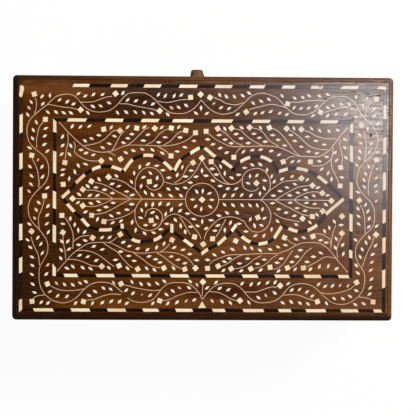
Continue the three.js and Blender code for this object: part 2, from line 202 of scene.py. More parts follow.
def makeLamp(name, place, size, watts):
    data = bpy.data.lights.new(name, "AREA")
    data.shape, data.size, data.size_y, data.energy = "RECTANGLE", size[0], size[1], watts
    lamp = bpy.data.objects.new(name, data)
    scene.collection.objects.link(lamp)
    lamp.location = place
    aim = -lamp.location.normalized()
    lamp.rotation_mode = "QUATERNION"
    lamp.rotation_quaternion = aim.to_track_quat("-Z", "Y")


def makeRoom(look):
    room = bpy.data.worlds.new("room")
    scene.world = room
    room.use_nodes = True
    room.node_tree.nodes.clear()
    way = addNode(room, "TexCoord").outputs["Generated"]
    colour = spread(room, splitPlace(room, way)["Z"], look["skyTones"])
    sky = addNode(room, "Background", {"Strength": look["skyStrength"]}, {"Color": colour})
    addNode(room, "OutputWorld", None, {"Surface": sky.outputs[0]})


makeTable(stageSet)
for lampSet in stageSet["lamps"]:
    makeLamp(*lampSet)
makeRoom(stageSet)
print("camera and stage made")

# Old polished rosewood: planed boards, oiled and waxed by hand. Brown bands and darker blotches run
# along the grain, fine dark pores break them, and the wax gives a soft sheen.
# A pattern's numbers are its length and width in mm, its detail and its distortion.
rosewoodSet = dict(
    figure=(150.0, 14.0, 3.0, 0.6), lines=(90.0, 1.6, 2.0, 0.3), pores=(7.0, 0.55, 1.0),
    blotches=(80.0, 20.0, 2.0), flecks=(13.0, 1.5, 3.0, 0.4), waves=(60.0, 16.0, 1.0),
    lineShare=0.24, fleckShare=0.16,
    tones=[(0.28, "#321600"), (0.42, "#4b2200"), (0.56, "#5e3001"), (0.74, "#7e480c")],
    insideTones=[(0.26, "#5c3d22"), (0.42, "#7a5531"), (0.56, "#8b6540"), (0.74, "#a07a52")],
    poreRange=(0.6, 0.7), poreShare=0.5, poreColour="#1d0d04", poreDullness=0.36,
    blotchRange=(0.42, 0.62), blotchShare=0.35, blotchColour="#2e1505",
    gloss=(0.155, 0.28), glossRange=(0.4, 0.66), insideDullness=0.68,
    rubbedRange=(-99 * mm, -108 * mm), rubbedDullness=0.07,
    surface={"IOR": 1.5, "Specular IOR Level": 0.5},
    waveRise=5.0, bump=(0.15, 0.06),
)
turnToGrain = {"X": (0, 0, 0), "Y": (0, 0, -math.pi / 2)}

# Where the lid has darkened or faded: (x, y, reach in x, reach in y, colour, depth), in mm and in
# the picture. A slow wobble keeps the patches from being round.
patchSet = dict(wobbleSize=28 * mm, wobbleDetail=3.0, wobbleReach=(50 * mm, 20 * mm, 0), edge=0.7)
lidPatches = [
    (-150, 110, 70, 12, "#a4662a", 0.2), (-45, 101, 90, 20, "#2a1204", 0.6),
    (15, 93, 45, 14, "#2a1204", 0.3), (-75, 42, 130, 24, "#a4662a", 0.16),
    (-125, -42, 95, 36, "#2a1204", 0.5), (-178, -98, 55, 50, "#220e04", 0.7),
    (60, -46, 90, 24, "#a4662a", 0.2), (-50, -104, 80, 16, "#a4662a", 0.15),
    (80, -108, 130, 12, "#a4662a", 0.16), (-15, -62, 60, 22, "#a4662a", 0.12),
    (140, -88, 60, 20, "#a4662a", 0.14), (130, 94, 120, 26, "#2a1204", 0.45),
    (185, 60, 26, 80, "#2a1204", 0.3), (130, 40, 60, 18, "#a4662a", 0.14),
]
# Tints along one edge: (axis, start, end, colour, depth), in the frame and in mm. On the lid, the wood is
# faded paler toward the picture's right and a little darker along its top edge, and painted shade makes its
# left and bottom edges near black, as the sides away from the light. The tints are strongest on top and fade
# out down the upright sides.
marginSet = dict(wobble=(30.0, 30.0), wobbleRange=(0.25, 0.5), leastShare=0.75,
                 heights=(116 * mm, 119.5 * mm))
lidFadingAndShade = [("X", -40, -180, "#8c5a36", 0.22), ("Y", -114, -116, "#2a1408", 0.25),
              # painted shade: near black along the picture's left and bottom edges
              ("X", 178, 186, "#140803", 0.85), ("Y", 113.5, 115.5, "#2c0f04", 0.85)]
# On the lip: a paler band along the picture's right side is painted light, the front is tinted a greyer
# brown, and the rest is painted shade, darkening toward the picture's left and near black along its left and
# bottom sides.
lipPaintedLightAndShade = [("X", -184, -188, "#74492c", 0.4), ("Y", -117, -120, "#5e3c1c", 0.5),
              ("X", 60, 170, "#1a0b04", 0.55), ("X", 184, 187, "#160802", 0.9),
              ("Y", 116, 119, "#1c0a02", 0.88)]


def makeRosewood(name, grain, look, shift=(0, 0, 0), hollow=None, patches=(), margins=()):
    wood = newMaterial(name)
    place = framePlace(wood)
    turned = addNode(wood, "Mapping", {"Location": shift, "Rotation": turnToGrain[grain]},
                     {"Vector": place}).outputs[0]
    figure, lines, pores, blotches, flecks, waves = (
        grainNoise(wood, turned, *look[pattern])
        for pattern in ("figure", "lines", "pores", "blotches", "flecks", "waves"))
    mixed = blend(wood, look["lineShare"], figure, lines)
    mixed = blend(wood, look["fleckShare"], mixed, flecks)
    colour = spread(wood, mixed, look["tones"])
    if hollow:  # the faces inside the box never had polish, and stay paler and dry
        inside = insideMask(wood, place, hollow)
        dry = spread(wood, mixed, look["insideTones"])
        colour = addNode(wood, "MixRGB", None,
                         {"Fac": inside, "Color1": colour, "Color2": dry}).outputs[0]
    if patches:
        colour = tintPatches(wood, place, colour, patches)
    if margins:
        colour = tintEdgesWithFadingLightAndShade(wood, place, colour, margins)
    poreMask = remap(wood, pores, *look["poreRange"], high=look["poreShare"])
    colour = tint(wood, colour, poreMask, look["poreColour"])
    blotchMask = remap(wood, blotches, *look["blotchRange"], high=look["blotchShare"])
    colour = tint(wood, colour, blotchMask, look["blotchColour"])
    rough = remap(wood, flecks, *look["glossRange"], *look["gloss"])
    # Open pores hold no wax, so they stay dull in the sheen.
    rough = calculate(wood, "MULTIPLY_ADD", poreMask, look["poreDullness"], rough)
    if patches:  # hands have rubbed the wax off along the lid's front
        rubbed = remap(wood, splitPlace(wood, place)["Y"], *look["rubbedRange"],
                       high=look["rubbedDullness"])
        rough = calculate(wood, "ADD", rough, rubbed)
    if hollow:
        rough = addNode(wood, "MapRange", {"To Max": look["insideDullness"]},
                        {"Value": inside, "To Min": rough}).outputs[0]
    relief = calculate(wood, "MULTIPLY_ADD", poreMask, -1.0, lines)
    relief = calculate(wood, "MULTIPLY_ADD", waves, look["waveRise"], relief)
    return closeMaterial(wood, look["surface"], {"Base Color": colour, "Roughness": rough},
                         relief, look["bump"])


def insideMask(owner, place, hollow):
    axes = splitPlace(owner, place)
    within = [calculate(owner, "LESS_THAN", calculate(owner, "ABSOLUTE", axes[axis]), limit)
              for axis, limit in zip("XY", hollow)]
    return calculate(owner, "MULTIPLY", *within)


def tintPatches(owner, place, colour, patches):
    wobble = addNode(owner, "TexNoise",
                     {"Scale": 1 / patchSet["wobbleSize"], "Detail": patchSet["wobbleDetail"]},
                     {"Vector": place})
    reach = Vector(patchSet["wobbleReach"])
    push = addNode(owner, "VectorMath", {"operation": "MULTIPLY_ADD", 1: reach, 2: -reach / 2},
                   {0: wobble.outputs["Color"]})
    moved = addNode(owner, "VectorMath", {"operation": "ADD"}, {0: place, 1: push.outputs[0]})
    for x, y, reachX, reachY, hexColour, depth in patches:
        local = addNode(owner, "Mapping",
                        {"vector_type": "TEXTURE", "Location": (-x * mm, -y * mm, panelHigh.z),
                         "Scale": (reachX * mm, reachY * mm, 1)}, {"Vector": moved.outputs[0]})
        spot = addNode(owner, "TexGradient", {"gradient_type": "SPHERICAL"},
                       {"Vector": local.outputs[0]})
        share = addNode(owner, "MapRange", {"interpolation_type": "SMOOTHSTEP",
                                            "From Max": patchSet["edge"], "To Max": depth},
                        {"Value": spot.outputs["Fac"]})
        colour = tint(owner, colour, share.outputs[0], hexColour)
    return colour


# Tints the edges: real fading, and painted light and shade.
def tintEdgesWithFadingLightAndShade(owner, place, colour, margins):
    axes = splitPlace(owner, place)
    uneven = remap(owner, grainNoise(owner, place, *marginSet["wobble"]),
                   *marginSet["wobbleRange"], low=marginSet["leastShare"])
    upper = remap(owner, axes["Z"], *marginSet["heights"])
    uneven = calculate(owner, "MULTIPLY", uneven, upper)
    for axis, start, end, hexColour, depth in margins:
        reach = remap(owner, axes[axis], start * mm, end * mm, high=depth)
        colour = tint(owner, colour, calculate(owner, "MULTIPLY", reach, uneven), hexColour)
    return colour


# A share that grows toward one corner of the lid, from start to end along x and along y, in mm.
def cornerMask(owner, depth, alongX, alongY):
    axes = splitPlace(owner, framePlace(owner))
    across = remap(owner, axes["X"], alongX[0] * mm, alongX[1] * mm, high=depth)
    along = remap(owner, axes["Y"], alongY[0] * mm, alongY[1] * mm)
    return calculate(owner, "MULTIPLY", across, along)


# Painted sheen: toward the corner at the picture's upper right, where the lamp's reflection falls on the lid,
# bone, stems and ebony are mixed toward greyer, bluer colours that stand in for that sheen. At its lower
# right, hands have left the bone yellow.
paintedSheenCorner = ((10, -100), (60, -40))
yellowCorner = ((-40, -130), (-60, 0))

# Camel bone: sawn into slips, boiled, filed flush with the wood and rubbed smooth.
# Cream with fine lines along each slip and a few dark pores, a little yellow where wax settled.
boneSet = dict(
    tones=[(0.3, "#e2b694"), (0.42, "#f0d4ac"), (0.55, "#f8e4be"), (0.8, "#fbf0d6")],
    lineLength=7.0, lineWidth=0.45, lineShare=0.3, toneSize=60.0,
    poreRange=(0.66, 0.74), poreShare=0.5, poreColour="#8a6238",
    yellow="#c09464", yellowDepth=0.28,
    # painted sheen: the bone is mixed toward grey-mauve at the upper right
    paintedSheen="#b4aeb4", paintedSheenDepth=0.58,
    gloss=(0.32, 0.5), surface={"IOR": 1.54}, bump=(0.25, 0.05),
)
# Leaves are fresher bone, and the thin lines have taken up stain from the wood.
leafSet = dict(boneSet, tones=[(0.3, "#ecc4ac"), (0.42, "#f6ddc0"), (0.55, "#fbebd2"), (0.8, "#fef5e2")])
stemSet = dict(boneSet, tones=[(0.25, "#cca07c"), (0.5, "#e2b898"), (0.75, "#eeceb0")],
               # painted sheen: the stems go paler and greyer there
               paintedSheen="#d8ccc6", paintedSheenDepth=0.85)


# The noises of a sawn slip: one of fine lines, one of slow changes of tone. A slip's own
# coordinates are u along it and v across it, in mm.
def slipNoises(owner, look, slowSettings):
    slip = addNode(owner, "UVMap").outputs[0]
    fine = addNode(owner, "Mapping", {"Scale": (1 / look["lineLength"], 1 / look["lineWidth"], 1)},
                   {"Vector": slip})
    lines = addNode(owner, "TexNoise", {"Scale": 1.0, "Detail": 2.0}, {"Vector": fine.outputs[0]})
    slow = addNode(owner, "TexNoise", {"Scale": 1 / look["toneSize"], **slowSettings},
                   {"Vector": slip})
    return lines.outputs["Fac"], slow.outputs["Fac"]


def makeBone(name, look):
    bone = newMaterial(name)
    lines, slow = slipNoises(bone, look, {"Detail": 1.0})
    colour = spread(bone, blend(bone, look["lineShare"], slow, lines), look["tones"])
    pores = remap(bone, lines, *look["poreRange"], high=look["poreShare"])
    colour = tint(bone, colour, pores, look["poreColour"])
    colour = tint(bone, colour, cornerMask(bone, look["yellowDepth"], *yellowCorner), look["yellow"])
    # Painted sheen: grey-mauve mixed in toward the upper right corner.
    colour = tint(bone, colour, cornerMask(bone, look["paintedSheenDepth"], *paintedSheenCorner), look["paintedSheen"])
    rough = remap(bone, lines, 0.0, 1.0, *look["gloss"])
    return closeMaterial(bone, look["surface"], {"Base Color": colour, "Roughness": rough},
                         lines, look["bump"])


# Ebony: sawn slips, filed flush and waxed. Near black with a trace of brown along the grain.
ebonySet = dict(
    tones=[(0.34, "#0b0401"), (0.5, "#1a0c04"), (0.62, "#2e180a"), (0.76, "#50301a")],
    lineLength=12.0, lineWidth=0.8, lineShare=0.5, toneSize=45.0,
    # painted sheen: a trace of blue mixed in at the upper right
    paintedSheen="#506090", paintedSheenDepth=0.09,
    gloss=(0.17, 0.24), surface={"IOR": 1.42},
)
# A few slips have gone brown in the light.
brownSet = dict(ebonySet, tones=[(0.3, "#261106"), (0.5, "#3a1d0b"), (0.7, "#542d12")])


def makeEbony(name, look):
    ebony = newMaterial(name)
    lines, slow = slipNoises(ebony, look, {})
    colour = spread(ebony, blend(ebony, look["lineShare"], lines, slow), look["tones"])
    # Painted sheen: blue mixed in toward the upper right corner.
    colour = tint(ebony, colour, cornerMask(ebony, look["paintedSheenDepth"], *paintedSheenCorner), look["paintedSheen"])
    rough = remap(ebony, lines, 0.0, 1.0, *look["gloss"])
    return closeMaterial(ebony, look["surface"], {"Base Color": colour, "Roughness": rough})


# Brass: cast and filed, then gone brown with age. Dull gold with dark blotches.
brassSet = dict(
    blotches=(4.0, 4.0, 3.0), scratches=(6.0, 0.3, 1.0),
    tones=[(0.3, "#4b3418"), (0.5, "#8c6a34"), (0.7, "#b8935a")],
    gloss=(0.6, 0.3), glossRange=(0.3, 0.7), surface={"Metallic": 1.0}, bump=(0.2, 0.05),
)


def makeBrass(name, look):
    brass = newMaterial(name)
    place = framePlace(brass)
    blotches = grainNoise(brass, place, *look["blotches"])
    rough = remap(brass, blotches, *look["glossRange"], *look["gloss"])
    scratches = grainNoise(brass, place, *look["scratches"])
    return closeMaterial(brass, look["surface"],
                         {"Base Color": spread(brass, blotches, look["tones"]), "Roughness": rough},
                         scratches, look["bump"])


# Lac and sawdust: the dark filler rubbed into the joints round each slip. Almost black and dull.
lacSet = dict(grit=(0.8, 0.8, 2.0), stops=(0.35, 0.7), surface={"Roughness": 0.6, "IOR": 1.3},
              bump=(0.3, 0.05))


def makeLac(name, tones, look):
    lac = newMaterial(name)
    grit = grainNoise(lac, framePlace(lac), *look["grit"])
    colour = spread(lac, grit, list(zip(look["stops"], tones)))
    return closeMaterial(lac, look["surface"], {"Base Color": colour}, grit, look["bump"])


bone = makeBone("filed camel bone", boneSet)
leafBone = makeBone("filed bone leaf", leafSet)
stemBone = makeBone("thin stained bone line", stemSet)
ebony = makeEbony("filed and waxed ebony", ebonySet)
brownSlip = makeEbony("faded ebony gone brown", brownSet)
lac = makeLac("dark lac filler", ("#1c0d05", "#3c2211"), lacSet)
lostLac = makeLac("brown lac where a leaf is lost", ("#341a10", "#4e2c1e"), lacSet)
stain = makeLac("brown lac in the petals' joints", ("#6a4526", "#8a6038"), lacSet)
brass = makeBrass("old filed brass", brassSet)
panelWood = makeRosewood("waxed rosewood lid", "X", rosewoodSet, patches=lidPatches,
                         margins=lidFadingAndShade)

# Two of the lips, at the picture's top and right, keep the waxed finish; the two on the sides away from the
# light, at the picture's left and bottom, take a duller, less reflective copy, which darkens them as painted
# shade.
lipShift = (0.3, 0.5, 0)
waxedLip = dict(rosewoodSet, gloss=(0.25, 0.4), surface={"IOR": 1.5, "Specular IOR Level": 0.3})
shadedSideLip = dict(rosewoodSet, gloss=(0.4, 0.5), surface={"IOR": 1.5, "Specular IOR Level": 0.1})
lipSets = dict(front=("X", waxedLip), left=("Y", waxedLip), back=("X", shadedSideLip),
               right=("Y", shadedSideLip))
lipWoods = {side: makeRosewood("rubbed rosewood lip, " + side, *grainAndLook, lipShift,
                               margins=lipPaintedLightAndShade)
            for side, grainAndLook in lipSets.items()}

# The case and the lid's rails: boards along the box's length, and boards across it. What lies within
# a mm of the bottom board's edge is the inside.
bottomLow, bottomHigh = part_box("case_bottom_board")
hollowSize = (bottomHigh.x + mm, bottomHigh.y + mm)
woods = {
    "X": makeRosewood("waxed rosewood along the length", "X", rosewoodSet, (0.1, 0.7, 0), hollowSize),
    "Y": makeRosewood("waxed rosewood across the box", "Y", rosewoodSet, (0.4, 0.2, 0), hollowSize),
}
tabShift = (0.2, 0.1, 0)
wornSet = dict(rosewoodSet, gloss=(0.42, 0.55), surface={"IOR": 1.5, "Specular IOR Level": 0.15},
               tones=[(0.26, "#5c3a22"), (0.42, "#68442b"), (0.56, "#755036"), (0.74, "#886446")])
flankSet = dict(wornSet,
                tones=[(0.28, "#3e1e08"), (0.42, "#50280c"), (0.56, "#60320f"), (0.74, "#723f16")])
tabWood = makeRosewood("rosewood worn pale by thumbs", "X", wornSet, tabShift)
flankWood = makeRosewood("oily rosewood round the tab", "X", flankSet, tabShift)
print("materials made")


# Inlay. Every place below is in the camera's picture: mm from the middle of the lid, x to the
# right and y up. Each slip is let in almost flush, a hair proud of the wood round it.
inlaySet = dict(
    panelTop=121.94, lacTop=121.952, ebonyTop=121.97, stemTop=121.975, boneTop=121.99,
    crossTop=121.994, markTop=121.996,
    depth=0.8, easing=0.1, joint=0.12, lacRim=0.25,
    stemWidth=0.74, stemDrop=0.003, stemLevels=4, stepsPerSpan=4,
    leafLength=6.0, leafWidth=2.88, flowerSize=4.75, crossWidth=0.16,
)
sawnLength = 9000.0  # mm of bone or ebony that the slips are sawn from
# A slip's section, from its right side to its left: (side, height from the top, way in from the side).
slipSection = [(-1, -inlaySet["depth"], 0), (-1, -inlaySet["easing"], 0), (-1, 0, inlaySet["easing"]),
               (1, 0, inlaySet["easing"]), (1, -inlaySet["easing"], 0), (1, -inlaySet["depth"], 0)]


def newStore():
    return dict(verts=[], faces=[], slips=[])


def slipPlace():  # each slip shows its own part of the bone
    return chance.uniform(0, sawnLength), chance.uniform(0, sawnLength)


def onLid(x, y, z):
    return -x * mm, -y * mm, z * mm


def addStrip(store, line, width, top, slants=(0.0, 0.0), lay=onLid):
    count, first = len(slipSection), len(store["verts"])
    u, v = slipPlace()
    for i, (x, y) in enumerate(line):
        back, ahead = line[max(i - 1, 0)], line[min(i + 1, len(line) - 1)]
        run = math.dist(back, ahead)
        tx, ty = (ahead[0] - back[0]) / run, (ahead[1] - back[1]) / run
        lean = slants[0] if i == 0 else slants[1] if i == len(line) - 1 else 0.0
        if i:
            u += math.dist(line[i - 1], line[i])
        for side, drop, inset in slipSection:
            across, skew = side * (width / 2 - inset), lean * side / 2
            store["verts"].append(lay(x - ty * across + tx * skew, y + tx * across + ty * skew,
                                      top + drop))
            store["slips"].append((u, v + across))
    for a in range(first, first + (len(line) - 1) * count, count):
        store["faces"] += [(a + k + 1, a + k, a + count + k, a + count + k + 1)
                           for k in range(count - 1)]
    store["faces"].append(tuple(range(first, first + count)))
    store["faces"].append(tuple(range(first + len(line) * count - 1,
                                      first + (len(line) - 1) * count - 1, -1)))


def addPlate(store, outline, top, along=0.0):
    middleX = sum(x for x, y in outline) / len(outline)
    middleY = sum(y for x, y in outline) / len(outline)
    reach = min(math.dist((middleX, middleY), point) for point in outline)
    shrink = 1 - inlaySet["easing"] / reach
    first, count = len(store["verts"]), len(outline)
    u, v = slipPlace()
    c, s = math.cos(along), math.sin(along)
    for drop, share in ((-inlaySet["depth"], 1), (-inlaySet["easing"], 1), (0, shrink)):
        for x, y in outline:
            dx, dy = (x - middleX) * share, (y - middleY) * share
            store["verts"].append(onLid(middleX + dx, middleY + dy, top + drop))
            store["slips"].append((u + dx * c + dy * s, v - dx * s + dy * c))
    for ring in (first, first + count):
        for k in range(count):
            n = (k + 1) % count
            store["faces"].append((ring + k, ring + n, ring + count + n, ring + count + k))
    store["faces"].append(tuple(first + 2 * count + k for k in range(count)))


def makePiece(name, store, material, body="lid"):
    mesh = bpy.data.meshes.new(name)
    mesh.from_pydata(store["verts"], [], store["faces"])
    slipMap = mesh.uv_layers.new(name="slips")
    for loop in mesh.loops:
        slipMap.data[loop.index].uv = store["slips"][loop.vertex_index]
    mesh.materials.append(material)
    piece = bpy.data.objects.new(name, mesh)
    scene.collection.objects.link(piece)
    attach(piece, body)
    return piece


# A smooth curve through the points, as a bent slip takes it.
def smoothLine(points):
    if len(points) < 3:
        return list(points)
    steps = inlaySet["stepsPerSpan"]
    head = (2 * points[0][0] - points[1][0], 2 * points[0][1] - points[1][1])
    tail = (2 * points[-1][0] - points[-2][0], 2 * points[-1][1] - points[-2][1])
    whole, line = [head, *points, tail], []
    for a, b, c, d in zip(whole, whole[1:], whole[2:], whole[3:]):
        for k in range(steps):
            t = k / steps
            line.append(tuple(0.5 * (2 * q + (r - p) * t + (2 * p - 5 * q + 4 * r - s) * t * t
                                     + (3 * q - p - 3 * r + s) * t ** 3)
                              for p, q, r, s in zip(a, b, c, d)))
    return line + [tuple(points[-1])]


# A leaf is a diamond with slightly full sides. Each is cut by hand, so turn and size vary.
leafSideMiddle = 0.52
leafShape = [(1, 0), (leafSideMiddle, leafSideMiddle), (0, 1), (-leafSideMiddle, leafSideMiddle),
             (-1, 0), (-leafSideMiddle, -leafSideMiddle), (0, -1), (leafSideMiddle, -leafSideMiddle)]
leafVariation = dict(degrees=(-3, 3), length=(0.93, 1.05), width=(0.9, 1.07))


def addLeaf(store, x, y, angle, share=1.0, top="boneTop"):
    turn = math.radians(angle + chance.uniform(*leafVariation["degrees"]))
    length = share * inlaySet["leafLength"] / 2 * chance.uniform(*leafVariation["length"])
    width = share * inlaySet["leafWidth"] / 2 * chance.uniform(*leafVariation["width"])
    outline = [(x + a * length * math.cos(turn) - b * width * math.sin(turn),
                y + a * length * math.sin(turn) + b * width * math.cos(turn)) for a, b in leafShape]
    addPlate(store, outline, inlaySet[top], turn)


# A flower is a square of four petals: filed corners, a small notch in the middle of each side, and
# a fine cross of lac between the petals.
flowerSet = dict(
    variation=(-4, 4),  # degrees
    quarter=[(-6, 0.95), (6, 0.95), (36, 0.76), (45, 0.63), (54, 0.76)],  # degrees, share of reach
    crossWays=(45, 135), crossReach=0.5,
)


def addFlower(store, x, y, angle, joints):
    turn = math.radians(angle + 45 + chance.uniform(*flowerSet["variation"]))
    reach = inlaySet["flowerSize"] / math.sqrt(2)
    outline = []
    for k in range(4):
        for off, share in flowerSet["quarter"]:
            way = turn + math.radians(90 * k + off)
            outline.append((x + reach * share * math.cos(way), y + reach * share * math.sin(way)))
    addPlate(store, outline, inlaySet["boneTop"], turn + math.pi / 4)
    for degrees in flowerSet["crossWays"]:
        way, length = turn + math.radians(degrees), flowerSet["crossReach"] * reach
        dx, dy = length * math.cos(way), length * math.sin(way)
        addStrip(joints, [(x - dx, y - dy), (x + dx, y + dy)], inlaySet["crossWidth"],
                 inlaySet["crossTop"])


# Chequered stringing of bone and ebony slips with slanted ends: where each bone slip begins and
# ends along its row, and its slants where they are its own. Ebony fills the rest.
outerSet = dict(
    width=3.3, x=182.4, y=112.4, topStart=-130.8, leftEnd=98.5,
    lost=[("top", "ebony", -180.75), ("left", "bone", 99.8), ("left", "ebony", 112.6),
          ("top", "bone", 174.8)],
    brown=[("left", 83), ("left", 44.4)],
    slants=dict(top=1.5, bottom=-1.4, left=-1.6, right=-1.2),
    top=[(-130.8, -114.6), (-93, -76.5), (-59.9, -43), (-24.5, -6.7), (11.2, 28.3), (46.1, 61),
         (78.6, 91.5), (107.5, 119.6), (138, 155.3), (174.8, 183.6)],
    bottom=[(-169.3, -149.7), (-131.8, -113.2), (-95.5, -77.1), (-60, -44.4), (-27.1, -10.2),
            (9.9, 22.5), (40.7, 61.5), (76.5, 89), (104.1, 124), (139.6, 156.8), (172.5, 180.6)],
    left=[(-113.7, -102, -2.8, -1.3), (-75.4, -60), (-42.7, -26.4, -0.4, -0.4), (-7.4, 10.3),
          (28.4, 44.4, -1.6, -0.8), (64.5, 83), (99.8, 112.6)],
    right=[(-89.2, -71), (-54.1, -38.3), (-23.8, -10.3), (9.1, 27.3), (45.5, 62.3),
           (80.9, 95, -0.3, -0.6)],
)
innerSet = dict(
    width=3.4, x=148.9, y=77.8, topStart=-148.9, leftEnd=77.8,
    lost=[],
    brown=[("left", -67.9)],
    slants=dict(top=1.5, bottom=-1.6, left=1.2, right=1.1),
    top=[(-136.2, -117.4), (-98.3, -80.7), (-62.4, -45), (-31, -10.5), (7.9, 28.9), (49, 66.8),
         (84.2, 100.8), (117.4, 135)],
    bottom=[(-139, -125.5), (-106.9, -88.8), (-71, -53.2), (-32.7, -14.4), (3, 21.8), (39.8, 55.2),
            (72.6, 87), (102, 118.9), (136.6, 147.2)],
    left=[(-78.4, -67.9, 0.4, 4.8), (-44.8, -27.5), (-10.9, 6.4), (24.6, 46.5), (65.4, 77.6, 1.2, 3.4)],
    right=[(-59.2, -51.2), (-32.3, -14.8), (0.4, 17.2), (37.5, 54), (66.9, 76.3, 1.2, -2.6)],
)
shortestSlip = 0.6  # mm


def addRow(stores, look, side, start, end):
    upright = side in ("left", "right")
    level = look["x" if upright else "y"] * (1 if side in ("right", "top") else -1)
    gap, ahead, lean = inlaySet["joint"] / 2, start, 0.0
    slips = []
    for a, b, *own in look[side]:
        leanA, leanB = own or [look["slants"][side]] * 2
        slips.append(("ebony", ahead, max(a, start), lean, leanA))
        slips.append(("bone", max(a, start), min(b, end), leanA, leanB))
        ahead, lean = min(b, end), leanB
    slips.append(("ebony", ahead, end, lean, 0.0))
    for tone, a, b, leanA, leanB in slips:
        if b - a < shortestSlip or (side, tone, a) in look["lost"]:
            continue
        line = [(level, a + gap), (level, b - gap)] if upright else [(a + gap, level), (b - gap, level)]
        store = "brown" if tone == "ebony" and (side, a) in look["brown"] else tone
        addStrip(stores[store], line, look["width"], inlaySet[tone + "Top"], (leanA, leanB))


def addLac(store, look, line):
    addStrip(store, line, look["width"] + 2 * inlaySet["lacRim"], inlaySet["lacTop"])


def makeStringing(name, look, replaced):
    stores = {"bone": newStore(), "ebony": newStore(), "brown": newStore()}
    lacStore = newStore()
    half, x, y = look["width"] / 2, look["x"], look["y"]
    addRow(stores, look, "top", -x + half, x - half)
    addRow(stores, look, "bottom", -x + half, x + half)
    addRow(stores, look, "left", -y - half, y + half)
    addRow(stores, look, "right", -y + half, y + half)
    for line in ([(-x, -y), (-x, look["leftEnd"])], [(x, -y), (x, y)],
                 [(look["topStart"], y), (x, y)], [(-x, -y), (x, -y)]):
        addLac(lacStore, look, line)
    made = makePiece(name + "_stringing_bone", stores["bone"], bone)
    makePiece(name + "_stringing_ebony", stores["ebony"], ebony)
    makePiece(name + "_stringing_faded", stores["brown"], brownSlip)
    makePiece(name + "_stringing_lac", lacStore, lac)
    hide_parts(*replaced)


for frameName, frameSet in (("outer", outerSet), ("inner", innerSet)):
    makeStringing(frameName, frameSet, [frameName + "_stringing_" + side
                                        for side in ("front", "back", "right", "left")])
print("stringing made")

# The scalloped medallion: the joints of its slips from cusp to cusp, bone and ebony by turns.
medallionSet = dict(
    width=3.3, slants=(0.7, 0.7),
    lobes=[  # the first slip of the lobe, then its joints
        ("bone", [(-141.5, 0), (-134, 7), (-127.5, 14.8), (-118.8, 23), (-111.5, 28.2), (-103, 31.2),
                  (-92, 31.3), (-82, 28), (-79.2, 26)]),
        ("bone", [(-79.5, 27.5), (-70.9, 38.6), (-60.3, 42.7), (-50.3, 42.3), (-39.9, 36.5),
                  (-31.6, 28.6), (-30, 26.5)]),
        ("bone", [(-29, 28), (-22.8, 38.6), (-13.2, 45.2), (-4, 50.7), (1.5, 50.5)]),
        ("bone", [(1, 50.8), (11.8, 42), (18.9, 38.1), (28.6, 31), (30.2, 28.5)]),
        ("ebony", [(29, 27.5), (37.1, 37), (46.8, 41.6), (57.3, 42.4), (68.4, 37.4), (76.5, 26.5)]),
        ("bone", [(76, 27.5), (84.8, 30.2), (93.7, 30.9), (105.1, 28.4), (115.1, 23.1), (124.4, 15.9),
                  (141.5, 0)]),
        ("bone", [(141.5, 0.5), (123.5, -15.2), (114.8, -25.9), (105.1, -31.4), (95.1, -32.5),
                  (85.9, -29.6), (78, -26.8)]),
        ("bone", [(79, -27.5), (71.3, -39.5), (64.8, -43.6), (55.9, -45.4), (47.6, -43.7),
                  (38.9, -37.9), (31.5, -29.5)]),
        ("bone", [(33.5, -26), (28.5, -32.6), (22.9, -38.6), (14.6, -46.1), (5, -50.9), (-1.5, -55.6)]),
        ("ebony", [(-1, -54.5), (-10.4, -47.9), (-19.3, -41.4), (-30, -33.8)]),
        ("bone", [(-31.4, -34.3), (-31.4, -25.7)]),
        ("ebony", [(-31.5, -29), (-41.8, -37.9), (-49.6, -42.1), (-63, -43.6), (-71.2, -40.8), (-80.5, -29)]),
        ("bone", [(-81, -30.5), (-81.2, -25.8)]),
        ("ebony", [(-80, -27.5), (-91.6, -31.4), (-104.1, -31.8), (-114.4, -28.4), (-121.6, -20.7),
                   (-129.1, -13.9), (-136.2, -6.1), (-141.5, 0)]),
    ],
)


def makeMedallion(look):
    stores = {"bone": newStore(), "ebony": newStore()}
    lacStore, steps = newStore(), inlaySet["stepsPerSpan"]
    for tone, joints in look["lobes"]:
        line = smoothLine(joints)
        for k in range(len(joints) - 1):
            slip = line[k * steps:(k + 1) * steps + 1] if len(joints) > 2 else line
            addStrip(stores[tone], slip, look["width"], inlaySet[tone + "Top"], look["slants"])
            tone = "ebony" if tone == "bone" else "bone"
        addLac(lacStore, look, line)
    made = makePiece("medallion_bone", stores["bone"], bone)
    makePiece("medallion_ebony", stores["ebony"], ebony)
    makePiece("medallion_lac", lacStore, lac)
    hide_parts("medallion_stringing")


makeMedallion(medallionSet)

